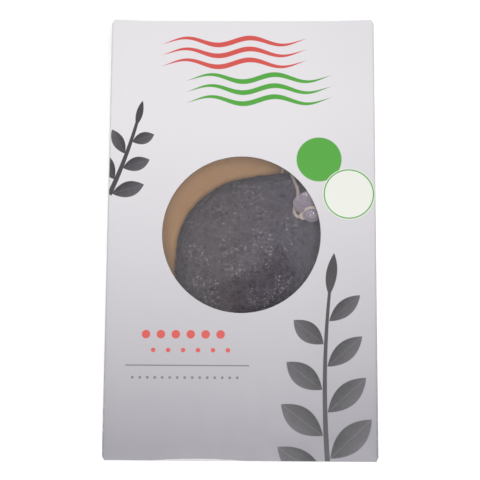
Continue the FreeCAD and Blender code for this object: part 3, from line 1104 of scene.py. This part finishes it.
@dataclass
class CartonSleeve:
    """The four walls and the glue flap: one sheet folded round, with the window cut in its front."""

    board: Board
    relief_depth: float = 0.5
    relief_width: float = 68.0
    thumb_depth: float = 0.6
    thumb_width: float = 32.0
    thumb_left: float = 14.0
    glue_taper: float = 7.0
    glue_gap: float = 0.02
    columns: int = 81
    edge_steps: int = 96
    rings: int = 12
    ring_power: float = 1.4

    def __post_init__(self) -> None:
        """Reads the carton's sizes from the model."""
        self.half_width, self.half_front, self.depth = in_mm("front_panel")[1]
        self.half_side = in_mm("left_side_panel")[1][1]
        self.half_back = in_mm("back_panel")[1][1]
        self.seam_step = in_mm("right_side_panel")[0][2]
        self.glue_side, self.half_glue, self.glue_width = in_mm("glue_flap")[1]
        self.flat = self.half_width - self.board.crease_radius

    def wall(self, corners: Array, half_lengths: list[float], first: bool, last: bool) -> list[Patch]:
        """Walls that follow a fold line: y runs from minus to plus the half length at each point of it.

        Args:
            corners: The fold line's corners, as x and z.
            half_lengths: Half length at the line's start, at each bend's start and end, and at its end.
            first: Whether the line starts at a cut edge.
            last: Whether the line ends at a cut edge.

        Returns:
            The patches of the walls.
        """
        line = self.board.fold(corners)
        knots = line.travel[[0, *line.bends, -1]]
        half = np.interp(line.travel, knots, half_lengths)
        y = half[:, None] * np.linspace(-1, 1, self.columns)
        faces = []
        for points in (line.points, line.points - self.board.thickness * line.outward):
            x, z = (np.broadcast_to(axis[:, None], y.shape) for axis in points.T)
            faces.append(np.stack([x, y, z], axis=-1))
        return sheet_shell(*faces, first, last)

    def end_edges(self, x: Array) -> tuple[Array, Array]:
        """Height of the front's two edges: the top dips in its middle, the bottom has a thumb cut.

        Args:
            x: Places across the front.

        Returns:
            Heights of the top edge and of the bottom edge.
        """
        dip = 1 - np.clip((np.abs(x) - self.relief_width / 2) / (self.flat - self.relief_width / 2), 0, 1)
        share = (x + self.thumb_left) / (self.thumb_width / 2)
        cut = np.clip(1 - share * share, 0, 1)
        return self.half_front - self.relief_depth * dip, -self.half_front + self.thumb_depth * cut

    def front(self) -> list[Patch]:
        """The flat front: rings from the window's circle to the front's outline, closest at the window.

        Returns:
            Its two faces, the window's cut edge, and its top and bottom edges.
        """
        side = np.linspace(-1, 1, self.columns) * self.half_front
        across = np.linspace(self.flat, -self.flat, self.edge_steps + 1)[1:-1]
        top = self.end_edges(across)[0]
        bottom = self.end_edges(across[::-1])[1]
        right_edge = np.stack([np.full_like(side, self.flat), side], axis=1)
        outline = np.concatenate([
            right_edge,
            np.stack([across, top], axis=1),
            right_edge[::-1] * (-1, 1),
            np.stack([across[::-1], bottom], axis=1),
        ])
        share = np.linspace(0, 1, self.rings)[:, None, None] ** self.ring_power
        spread = WINDOW_RADIUS * unit(outline) * (1 - share) + outline * share
        outer, inner = (
            np.concatenate([spread, np.full_like(spread[..., :1], height)], axis=-1)
            for height in (self.depth, self.depth - self.board.thickness)
        )
        after_top = self.columns + len(across) + 1
        ends = (slice(self.columns - 1, after_top), np.r_[after_top + self.columns - 2:len(outline), 0])
        edges = [Patch(np.stack([outer[-1][end], inner[-1][end]]), Face.CUT_EDGE) for end in ends]
        window = Patch(np.stack([outer[0], inner[0]]), Face.CUT_EDGE, wraps=True)
        return [Patch(outer, Face.OUTSIDE, True), Patch(inner, Face.INSIDE, True), window, *edges]

    def build(self) -> bpy.types.Object:
        """Folds the sleeve and sets it on the carton's body.

        Returns:
            The sleeve.
        """
        width, flat, depth = self.half_width, self.flat, self.depth
        glue = self.glue_side - self.glue_gap
        right = np.array([(width, self.seam_step), (width, depth), (flat, depth)])
        left = np.array([(-flat, depth), (-width, depth), (-width, 0), (glue, 0), (glue, self.glue_width)])
        side, front, back, tab = self.half_side, self.half_front, self.half_back, self.half_glue
        left_lengths = [front, front, side, side, back, back, tab, tab - self.glue_taper]
        patches = self.wall(right, [side, side, front, front], True, False)
        patches += self.wall(left, left_lengths, False, True)
        piece = make_piece("carton_sleeve", patches + self.front(), self.board.finishes)
        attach(piece, "carton")
        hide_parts("front_panel", "back_panel", "left_side_panel", "right_side_panel", "glue_flap")
        return piece


@dataclass
class EndClosure:
    """One end of the carton: the lid with its tuck flap, and a dust flap on each side.

    Two places near each flap's crease are each given as how far before the crease's corner and how far
    beyond it; nothing bends the flap between them.
    """

    board: Board
    end: End
    lid_step: float = 0.6
    lid_step_over: float = 1.5
    tuck_corner: float = 9.0
    dust_back_inset: float = 1.6
    dust_back_slope: float = 0.56
    dust_front_inset: float = 2.8
    dust_front_slope: float = 0.13
    dust_corner: float = 3.0
    bend_from: Spot = (1.2, 0.1)
    bend_to: Spot = (0.3, 1.0)
    columns: int = 33

    def __post_init__(self) -> None:
        """Reads the sizes of the flaps from the model."""
        self.name = self.end.name.lower()
        top_lid, top_tuck = in_mm("top_lid")[1], in_mm("top_tuck_flap")
        self.half_lid, self.lid_end, self.lid_height = top_lid
        self.half_tuck, self.tuck_front = top_tuck[1][0], top_tuck[1][2]
        self.tuck_tip = top_tuck[0][1]
        dust = in_mm("top_right_dust_flap")
        self.dust_tip, self.dust_end = dust[0][0], dust[1][1]
        self.half_width, _, self.depth = in_mm("front_panel")[1]
        self.half_back = in_mm("back_panel")[1][1]
        self.half_side = in_mm("left_side_panel")[1][1]

    def lid_outline(self, beyond: Array) -> tuple[Array, Array]:
        """The lid's sides: narrower on the back wall's own crease, then straight."""
        half = self.half_lid - self.lid_step * (1 - eased(beyond / self.lid_step_over))
        return -half, half

    def tuck_outline(self, beyond: Array) -> tuple[Array, Array]:
        """The tuck flap's sides: straight, then a quarter circle to its tip.

        Args:
            beyond: Distances beyond the crease.

        Returns:
            Places of the two sides.
        """
        length = self.lid_end - self.tuck_tip
        into = np.clip(beyond - (length - self.tuck_corner), 0, self.tuck_corner)
        half = self.half_tuck - self.tuck_corner + np.sqrt(self.tuck_corner ** 2 - into ** 2)
        return -half, half

    def dust_outline(self, beyond: Array) -> tuple[Array, Array]:
        """The dust flap's sides: two slopes that draw together, with a quarter oval at each tip corner.

        Args:
            beyond: Distances beyond the crease.

        Returns:
            Places of the two sides.
        """
        length = self.half_width - self.dust_tip
        straight = np.minimum(beyond, length - self.dust_corner)
        into = (beyond - straight) / self.dust_corner
        round_off = self.dust_corner * (1 - np.sqrt(np.clip(1 - into * into, 0, 1)))
        back = self.dust_back_inset + self.dust_back_slope * straight
        front = self.depth - self.dust_front_inset - self.dust_front_slope * straight
        return back + round_off, front - round_off

    def from_lid(self, profile: Array, across: Array) -> Array:
        """Place of a point whose profile is y and z, with x across; the bottom end is turned half round."""
        sign = self.end.value
        return np.stack(np.broadcast_arrays(across * sign, profile[..., 0] * sign, profile[..., 1]), axis=-1)

    def from_dust(self, hand: Hand, profile: Array, across: Array) -> Array:
        """Place of a point whose profile is x and y, with z across; hand and end set the signs."""
        x, y = profile[..., 0] * hand.value, profile[..., 1] * self.end.value
        return np.stack(np.broadcast_arrays(x, y, across), axis=-1)

    def flap(
        self,
        piece_name: str,
        node: str,
        corners: Array,
        outline: Callable[[Array], tuple[Array, Array]],
        place: Callable[[Array, Array], Array],
    ) -> bpy.types.Object:
        """A flap: a short root on the wall that it hangs from, the crease, and the flap beyond it.

        Args:
            piece_name: Name of the piece.
            node: The node that it replaces.
            corners: Root, crease corner and tip, in the plane across the crease.
            outline: Gives the two sides of the flap from the distance beyond the crease.
            place: Gives a point's place from its profile and its place along the crease.

        Returns:
            The flap.
        """
        line = self.board.fold(corners)
        before, after = unit(np.diff(corners, axis=0))
        beyond = np.clip((line.points - corners[1]) @ after, 0, None)
        low, high = outline(beyond)
        across = low[:, None] + (high - low)[:, None] * np.linspace(0, 1, self.columns)
        lines = (line.points, line.points - self.board.thickness * line.outward)
        outer, inner = (place(points[:, None, :], across) for points in lines)
        piece = make_piece(piece_name, sheet_shell(outer, inner), self.board.finishes)
        middle = np.array((low[0] + high[0]) / 2)
        start, stop = (
            place(corners[1] - back * before + on * after, middle) * MM
            for back, on in (self.bend_from, self.bend_to)
        )
        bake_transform(piece)
        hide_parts(node)
        return piece

    def build(self) -> list[bpy.types.Object]:
        """Cuts the lid, the tuck flap and both dust flaps.

        Returns:
            The four flaps.
        """
        lid, tuck = f"{self.name}_lid", f"{self.name}_tuck"
        lid_corners = np.array([(self.half_back, 0), (self.lid_end, 0), (self.lid_end, self.lid_height)])
        tuck_corners = np.array([
            (self.lid_end, self.lid_height),
            (self.lid_end, self.tuck_front),
            (self.tuck_tip, self.tuck_front),
        ])
        dust_corners = np.array([
            (self.half_width, self.half_side),
            (self.half_width, self.dust_end),
            (self.dust_tip, self.dust_end),
        ])
        flaps = [
            (lid, lid, "carton", lid_corners, self.lid_outline, self.from_lid),
            (tuck, f"{tuck}_flap", lid, tuck_corners, self.tuck_outline, self.from_lid),
        ]
        for hand in Hand:
            dust = f"{self.name}_{hand.name.lower()}_dust"
            place = partial(self.from_dust, hand)
            flaps.append((dust, f"{dust}_flap", "carton", dust_corners, self.dust_outline, place))
        return [
            self.flap(f"{body}_board", node, corners, outline, place)
            for body, node, hangs_on, corners, outline, place in flaps
        ]


@dataclass
class WindowFilm:
    """Clear film glued behind the front, a little slack inside the window."""

    finish: bpy.types.Material
    slack: float = 0.16
    wave_size: Spot = (21.0, 30.0)
    wave_seed: int = 5
    steps: int = 97

    def build(self) -> bpy.types.Object:
        """Lays the film: flat where it is glued, and a shallow bowl with noise waves inside the window.

        Returns:
            The film.
        """
        low, high = in_mm("window_film")
        across = np.linspace(low[0], high[0], self.steps)
        up = np.linspace(low[1], high[1], self.steps)
        x, y = np.meshgrid(across, up, indexing="ij")
        free = eased((WINDOW_RADIUS - np.hypot(x, y)) / WINDOW_RADIUS)
        waved = np.stack([x / self.wave_size[0], y / self.wave_size[1], 0 * x], axis=-1)
        sag = self.slack * free * (1 + smooth_noise(waved, self.wave_seed))
        outer, inner = (np.stack([x, y, level - sag], axis=-1) for level in (high[2], low[2]))
        patches = [Patch(patch.points) for patch in sheet_shell(outer, inner)]
        piece = make_piece("window_film_sheet", patches, [self.finish])
        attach(piece, "carton")
        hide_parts("window_film")
        return piece


# Sponge with its cord and cup

@dataclass(frozen=True)
class Bell:
    """A swelling of the sponge's edge, as a share of its radius, or a hollow where the share is negative."""

    turn: float
    spread: float
    share: float

    def at(self, degrees: Array) -> Array:
        """Share of the radius at each angle: a bell curve about the turn."""
        return self.share * np.exp(-((degrees - self.turn) / self.spread) ** 2)


@dataclass
class Sponge:
    """The dried sponge: a half ball with a flat foot, drawn in unevenly and wrinkled as it dried.

    Each slow wave of its edge is a count of waves, a share of the radius and a phase. Wrinkles are calm low
    down, sink at the cord's hole and are pressed flat under the cup.
    """

    finish: bpy.types.Material
    cup_foot: Array
    foot_radius: float = 27.0
    rim_height: float = 9.0
    shoulder_radius: float = 8.0
    hollow: Bell = Bell(turn=103, spread=12, share=-0.03)
    lobe: Bell = Bell(turn=66, spread=15, share=0.085)
    slow_waves: tuple[tuple[int, float, float], ...] = ((2, 0.006, 1.7), (3, 0.005, 1.3), (7, 0.004, 0.0))
    lumps: tuple[Relief, ...] = (
        Relief(size=13.0, height=0.45, seed=1),
        Relief(size=6.0, height=0.25, seed=2),
    )
    bends: tuple[Relief, ...] = tuple(Relief(size=3.4, height=1.3, seed=seed) for seed in (3, 4, 5))
    lines: Relief = Relief(size=2.2, height=0.4, seed=6, sharpness=3.0)
    fine_lines: Relief = Relief(size=1.1, height=0.26, seed=7, sharpness=2.0)
    grains: Relief = Relief(size=0.8, height=0.16, seed=8)
    sink: float = 0.35
    foot_relief: float = 0.15
    calm_height: float = 4.0
    hole_turn: float = 76.0
    hole_share: float = 0.95
    hole_depth: float = 1.4
    hole_radius: float = 1.8
    press_height: float = 0.1
    press_radius: float = 7.0
    press_blend: float = 6.0
    free_height: float = 1.5
    rows: int = 210
    columns: int = 430

    def __post_init__(self) -> None:
        """Reads the sponge's place and size from the model."""
        low, high = in_mm("sponge")
        self.radius = (high[0] - low[0]) / 2
        self.height = high[2] - low[2]
        self.foot = np.array([*(low + high)[:2] / 2, low[2]])

    def profile(self) -> Array:
        """Radius and height from the middle of the foot to the crown: a flat, then three arcs that meet.

        Returns:
            The profile's points at equal steps.
        """
        reach = self.radius - self.foot_radius
        side = (reach ** 2 + self.rim_height ** 2) / (2 * reach)
        inset, above = self.radius - self.shoulder_radius, self.height - self.rim_height
        crown = (inset ** 2 + above ** 2 - self.shoulder_radius ** 2) / (2 * (above - self.shoulder_radius))
        meet = math.atan2(self.height - crown - self.rim_height, -inset) + math.pi
        low_turn = math.atan2(-self.rim_height, self.foot_radius - self.radius + side)
        line = [
            np.array([(0.0, 0.0)]),
            arc((self.radius - side, self.rim_height), side, low_turn, 0.0),
            arc((inset, self.rim_height), self.shoulder_radius, 0.0, meet)[1:],
            arc((0.0, self.height - crown), crown, meet, math.pi / 2, count=48)[1:],
        ]
        return even_steps(np.concatenate(line), self.rows)

    def shrinkage(self, turn: Array) -> Array:
        """Share of the radius left at each angle: 1, a hollow, a lobe and the slow waves' cosines."""
        waves = sum(share * np.cos(count * turn - phase) for count, share, phase in self.slow_waves)
        return 1 + self.hollow.at(np.degrees(turn)) + self.lobe.at(np.degrees(turn)) + waves

    def wrinkles(self, points: Array) -> tuple[Array, Array]:
        """Height of the dried surface: slow lumps, bent wrinkle lines of two sizes, and grains.

        Args:
            points: Places on the smooth sponge.

        Returns:
            How far each point stands out, and how near it is to the crests, from 0 to 1, which the finish
            turns into painted highlight and shade.
        """
        lumps = sum(lump.height * lump.noise(points) for lump in self.lumps)
        bent = points + np.stack([bend.height * bend.noise(points) for bend in self.bends], axis=-1)
        lines, fine = self.lines.ridges(bent), self.fine_lines.ridges(bent)
        grains = self.grains.noise(points)
        # Nearness to the crests, kept for the finish's painted highlight and shade.
        crest_highlight = 0.4 * lines + 0.4 * fine + 0.2 * (grains + 1) / 2
        relief = self.lines.height * lines + self.fine_lines.height * fine + self.grains.height * grains
        return lumps + relief - self.sink, crest_highlight

    def build(self) -> bpy.types.Object:
        """Turns the profile, draws it in, and moves each point along the profile's normal by its wrinkle.

        Returns:
            The sponge.
        """
        profile = self.profile()
        turn = np.linspace(0, 2 * math.pi, self.columns, endpoint=False)
        slope = unit(np.gradient(profile, axis=0))
        ring = np.stack([np.cos(turn), np.sin(turn), 0 * turn], axis=1)
        radius = profile[:, :1] * self.shrinkage(turn)
        points = self.foot + radius[..., None] * ring + profile[:, 1][:, None, None] * (0, 0, 1)
        normal = slope[:, 1][:, None, None] * ring - slope[:, 0][:, None, None] * (0, 0, 1)
        rise, crest_highlight = self.wrinkles(points)
        calm = self.foot_relief + (1 - self.foot_relief) * eased(profile[:, 1] / self.calm_height)
        hole_turn = math.radians(self.hole_turn)
        hole_way = np.array([math.cos(hole_turn), math.sin(hole_turn), 0])
        hole = self.foot + hole_way * self.radius * self.hole_share + (0, 0, self.rim_height)
        from_hole = np.linalg.norm(points - hole, axis=-1) / self.hole_radius
        rise = rise * calm[:, None] - self.hole_depth * np.exp(-from_hole ** 2)
        from_cup = np.linalg.norm(points - self.cup_foot, axis=-1)
        free = eased((from_cup - self.press_radius) / self.press_blend)
        rise = np.minimum(rise, self.press_height + self.free_height * free)
        points = points + rise[..., None] * normal
        points[..., 2] = np.maximum(points[..., 2], self.foot[2])
        # The mark keeps nearness to the crests with the points for the finish's painted highlight and shade.
        patch, marks = Patch(points, wraps=True), {"crest_highlight": crest_highlight}
        piece = make_piece("sponge_body", [patch], [self.finish], marks, ALL_SMOOTH)
        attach(piece, "sponge")
        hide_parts("sponge")
        return piece


@dataclass
class SuctionCup:
    """The clear cup on the cord: a hollow skirt, a neck for the cord and a domed head."""

    finish: bpy.types.Material
    radius: float = 6.8
    hollow_radius: float = 6.4
    hollow_depth: float = 1.9
    rim_foot: float = 0.1
    rim_height: float = 0.5
    skirt_height: float = 3.2
    skirt_arc: float = 8.8
    neck_radius: float = 1.7
    neck_top: float = 5.4
    head_radius: float = 3.2
    head_edge: float = 5.9
    head_top: float = 8.1
    noose_height: float = 4.3
    rows: int = 150
    columns: int = 96

    def __post_init__(self) -> None:
        """Reads the cup's place from the mount on its face, and lays its axes."""
        mount = next(each for each in frame["record"]["mounts"] if each["name"] == "suction_face")
        self.foot = np.array(mount["pos_m"]) / MM
        along = -unit(np.array(mount["axis"]))
        across = np.array([1.0, 0.0, 0.0])
        self.axes = np.stack([across, np.cross(along, across), along])

    def profile(self) -> Array:
        """Radius and height from the middle of the hollow to the top of the head, with moulded soft corners.

        Returns:
            The profile's points, each averaged with its neighbours.
        """
        hollow = (self.hollow_radius ** 2 + self.hollow_depth ** 2) / (2 * self.hollow_depth)
        spread = math.asin(self.hollow_radius / hollow)
        start = np.array([self.radius, self.rim_height])
        chord = np.array([self.neck_radius, self.skirt_height]) - start
        half = np.linalg.norm(chord) / 2
        inward = np.array([-chord[1], chord[0]]) / (2 * half)
        middle = start + chord / 2 + inward * math.sqrt(self.skirt_arc ** 2 - half ** 2)
        first = math.atan2(*(start - middle)[::-1])
        last = math.atan2(*(start + chord - middle)[::-1])
        rise = self.head_top - self.head_edge
        dome = (self.head_radius ** 2 + rise ** 2) / (2 * rise)
        edge = math.acos(self.head_radius / dome) * np.sign(self.head_edge - self.head_top + dome)
        line = np.concatenate([
            arc((0, self.hollow_depth - hollow), hollow, math.pi / 2, math.pi / 2 - spread),
            np.array([(self.radius, self.rim_foot)]),
            arc(tuple(middle), self.skirt_arc, first, last),
            np.array([(self.neck_radius, self.neck_top)]),
            arc((0, self.head_top - dome), dome, edge, math.pi / 2),
        ])
        even = even_steps(line, self.rows)
        padded = np.concatenate([even[:1] * (-1, 1), even, even[-1:] * (-1, 1)])
        soft = (padded[:-2] + 2 * padded[1:-1] + padded[2:]) / 4
        soft[[0, -1], 0] = 0
        return soft

    def build(self) -> bpy.types.Object:
        """Turns the cup about its axis, tipped as it lies on the sponge.

        Returns:
            The cup.
        """
        points = turned(self.profile(), self.foot, self.axes, self.columns)
        piece = make_piece("suction_cup_moulding", [Patch(points, wraps=True)], [self.finish], sharp=60.0)
        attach(piece, "sponge")
        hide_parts("suction_cup")
        return piece


@dataclass
class HangingCord:
    """Twisted cotton cord from the sponge to the cup, with a noose round the cup's neck.

    The twist is the length of one turn of the yarns. The hitch is a small ring round the cord, a few of the
    path's points before its end.
    """

    finish: bpy.types.Material
    cup: SuctionCup
    diameter: float = 1.2
    length: float = 128.0
    yarns: int = 3
    yarn_sides: int = 10
    twist: float = 4.2
    spline_order: int = 3
    spline_steps: int = 32
    path_steps: int = 520
    noose_radius: float = 2.4
    noose_turns: int = 4
    hitch_share: float = 0.8
    hitch_turns: int = 2
    hitch_back: int = 9
    ring_steps: int = 73
    route: tuple[Triple, ...] = (
        (13.24, 20.12, 9.6),
        (15.85, 30.60, 9.6),
        (13.2, 36.6, 5.4),
        (10.0, 42.5, 1.8),
        (9.0, 50.0, 1.4),
        (13.5, 58.0, 1.4),
        (22.5, 61.5, 1.4),
        (31.5, 58.0, 1.4),
        (35.0, 50.0, 1.4),
        (31.0, 42.0, 1.4),
        (23.0, 35.8, 3.2),
        (18.6, 30.8, 9.4),
        (18.0, 26.2, 15.0),
        (19.4, 22.2, 18.0),
        (20.9, 18.5, 19.2),
        (18.6, 11.4, 19.8),
        (20.1, 8.7, 21.0),
        (22.0, 8.7, 23.4),
        (23.17, 9.16, 25.3),
    )

    def spline(self) -> Array:
        """Points of the smooth spline whose control points are the route.

        Returns:
            The points, at uneven steps.
        """
        curve = bpy.data.curves.new("cord_route", "CURVE")
        curve.dimensions = "3D"
        curve.resolution_u = self.spline_steps
        line = curve.splines.new("NURBS")
        line.points.add(len(self.route) - 1)
        weighted = np.concatenate([np.array(self.route), np.ones((len(self.route), 1))], axis=1)
        line.points.foreach_set("co", weighted.ravel())
        line.order_u = self.spline_order
        line.use_endpoint_u = True
        holder = bpy.data.objects.new("cord_route", curve)
        mesh = bpy.data.meshes.new_from_object(holder)
        points = np.empty(len(mesh.vertices) * 3)
        mesh.vertices.foreach_get("co", points)
        bpy.data.objects.remove(holder)
        bpy.data.curves.remove(curve)
        bpy.data.meshes.remove(mesh)
        return points.reshape(-1, 3)

    def yarn_patches(self, path: Array, upright: Array, turns: float, closed: bool) -> list[Patch]:
        """Yarns twisted round a path.

        Each yarn's middle is path + offset (side cos + up sin), where the angle grows along the path, and
        its surface is that middle + radius (side cos + up sin).

        Args:
            path: Points of the cord's middle.
            upright: A direction that the path never follows.
            turns: Turns of twist along the path.
            closed: Whether the path comes back to its start.

        Returns:
            A patch for each yarn.
        """
        way = np.gradient(path, axis=0)
        if closed:
            way[[0, -1]] = path[1] - path[-2]
        side = unit(np.cross(unit(way), upright))
        up = np.cross(side, unit(way))
        radius = self.diameter / 4
        swell = np.full(len(path), radius)
        if not closed:
            swell[[0, -1]] = 0
        angle = np.linspace(0, 2 * math.pi * turns, len(path))
        sides = np.linspace(0, 2 * math.pi, self.yarn_sides, endpoint=False)
        around = np.cos(sides)[:, None] * side[:, None] + np.sin(sides)[:, None] * up[:, None]
        patches = []
        for yarn in range(self.yarns):
            lie = (angle + 2 * math.pi * yarn / self.yarns)[:, None]
            middle = path + radius * (np.cos(lie) * side + np.sin(lie) * up)
            patches.append(Patch(middle[:, None] + swell[:, None, None] * around, wraps=True))
        return patches

    def noose(self, path: Array) -> bpy.types.Object:
        """The loop round the cup's neck and the hitch where it leaves the neck: two rings of twisted yarns.

        Args:
            path: The cord's middle, which ends at the noose.

        Returns:
            The noose.
        """
        across, aside, along = self.cup.axes
        turn = np.linspace(0, 2 * math.pi, self.ring_steps)
        middle = self.cup.foot + self.cup.noose_height * along
        ring = circle(middle, self.noose_radius, across, aside, turn)
        spot = len(path) - self.hitch_back
        way = unit(path[spot + 2] - path[spot - 2])
        side = unit(np.cross(way, along))
        hitch = circle(path[spot], self.hitch_share * self.diameter, side, np.cross(side, way), turn)
        patches = self.yarn_patches(ring, along, self.noose_turns, True)
        patches += self.yarn_patches(hitch, way, self.hitch_turns, True)
        piece = make_piece("cord_noose_yarns", patches, [self.finish], sharp=ALL_SMOOTH)
        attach(piece, "sponge")
        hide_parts("cord_noose")
        return piece

    def build(self, cup_piece: bpy.types.Object) -> list[bpy.types.Object]:
        """Twists the cord along its spline and ties it to the cup.

        Args:
            cup_piece: The cup that hangs on the cord; not used.

        Returns:
            The cord and its noose.
        """
        path = even_steps(self.spline(), self.path_steps)
        upright = np.array([0.0, 0.0, 1.0])
        patches = self.yarn_patches(path, upright, self.length / self.twist, False)
        cord = make_piece("hanging_cord_yarns", patches, [self.finish], sharp=ALL_SMOOTH)
        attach(cord, "sponge")
        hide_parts("hanging_cord")
        noose = self.noose(path)
        return [cord, noose]


# Studio

@dataclass
class Studio:
    """Camera at the photograph's angle, soft lamps, and a white floor and surround.

    Places and sizes are in metres, apart from the camera's lens and sensor. Each lamp has a name, a place, a
    size and a power. The surround's dark gap is placed by the slopes x/z and y/z of the way to it.
    """

    camera_at: Triple = (0.0071, -0.0712, 0.4644)
    camera_turn: Triple = (9.16, 0.95, 0.37)
    lens: float = 92.35
    sensor: float = 36.0
    floor_half: float = 3.0
    floor_drop: float = 0.0002
    daylight: float = 0.24
    gap_at: Spot = (-0.006, 0.124)
    gap_radius: float = 0.03
    gap_blur: float = 0.15
    lamps: tuple[tuple[str, Triple, float, float], ...] = (
        ("key_lamp", (0.06, -0.20, 1.0), 0.22, 6.6),
        ("fill_lamp", (-0.55, 0.20, 1.10), 0.6, 1.7),
    )

    def camera(self) -> None:
        """Sets the camera."""
        data = bpy.data.cameras.new("camera")
        data.lens = self.lens
        data.sensor_width = self.sensor
        camera = bpy.data.objects.new("camera", data)
        camera.location = self.camera_at
        camera.rotation_euler = [math.radians(angle) for angle in self.camera_turn]
        bpy.context.scene.collection.objects.link(camera)
        bpy.context.scene.camera = camera

    def light(self) -> None:
        """Hangs the soft lamps, each facing the carton."""
        for name, place, size, power in self.lamps:
            data = bpy.data.lights.new(name, "AREA")
            data.size = size
            data.energy = power
            lamp = bpy.data.objects.new(name, data)
            lamp.location = place
            lamp.rotation_euler = (-Vector(place)).to_track_quat("-Z", "Y").to_euler()
            bpy.context.scene.collection.objects.link(lamp)

    def surround(self) -> None:
        """An even white world that lights at a plain level, with a dark gap overhead that gloss shows."""
        world = bpy.data.worlds.new("surround")
        bpy.context.scene.world = world
        world.use_nodes = True
        bench = FinishBench(world.node_tree)
        x, y, z = bench.parts(bench.add("ShaderNodeTexCoord", {}, {}).outputs["Generated"])
        from_gap = bench.length(x / z - self.gap_at[0], y / z - self.gap_at[1]) - self.gap_radius
        gap = from_gap.inside(self.gap_blur * self.gap_radius) * z.rise(0.0, 0.1)
        strength = bench.seen() * (1 - self.daylight) * (1 - gap) + self.daylight
        node = bench.add("ShaderNodeBackground", {}, {"Color": (1.0, 1.0, 1.0), "Strength": strength})
        bench.add("ShaderNodeOutputWorld", {}, {"Surface": node.outputs[0]})

    def floor(self) -> bpy.types.Object:
        """A white floor that keeps the carton's shadow.

        Returns:
            The floor.
        """
        side = np.array([-1.0, 1.0]) * self.floor_half
        x, y = np.meshgrid(side, side, indexing="ij")
        points = np.stack([x, y, np.full_like(x, -self.floor_drop)], axis=-1) / MM
        floor = make_piece("floor", [Patch(points)], [WhiteFloor().material()])
        return floor

    def build(self) -> list[bpy.types.Object]:
        """Sets up the studio.

        Returns:
            The floor.
        """
        bpy.context.scene.view_settings.view_transform = "Standard"
        self.camera()
        self.light()
        self.surround()
        return [self.floor()]


def main() -> None:
    """Builds every sub-assembly in order and reports its pieces."""
    logging.basicConfig(level=logging.INFO, format="%(name)s: %(message)s")
    pieces = Studio().build()
    brown, cut = BrownInside().material(), CutEdge().material()
    printed = Board([PrintedBoard().material(), brown, cut])
    plain = Board([CoatedBoard().material(), brown, cut], step=0.6)
    pieces.append(CartonSleeve(printed).build())
    for end in End:
        pieces += EndClosure(plain, end).build()
    pieces.append(WindowFilm(ClearFilm().material()).build())
    cup = SuctionCup(ClearCup().material())
    pieces.append(Sponge(CharcoalSponge().material(), cup.foot).build())
    cup_piece = cup.build()
    pieces += [cup_piece, *HangingCord(CottonCord().material(), cup).build(cup_piece)]
    for piece in pieces:
        log.info("%s: %d faces", piece.name, len(piece.data.polygons))


if __name__ == "__main__":
    main()
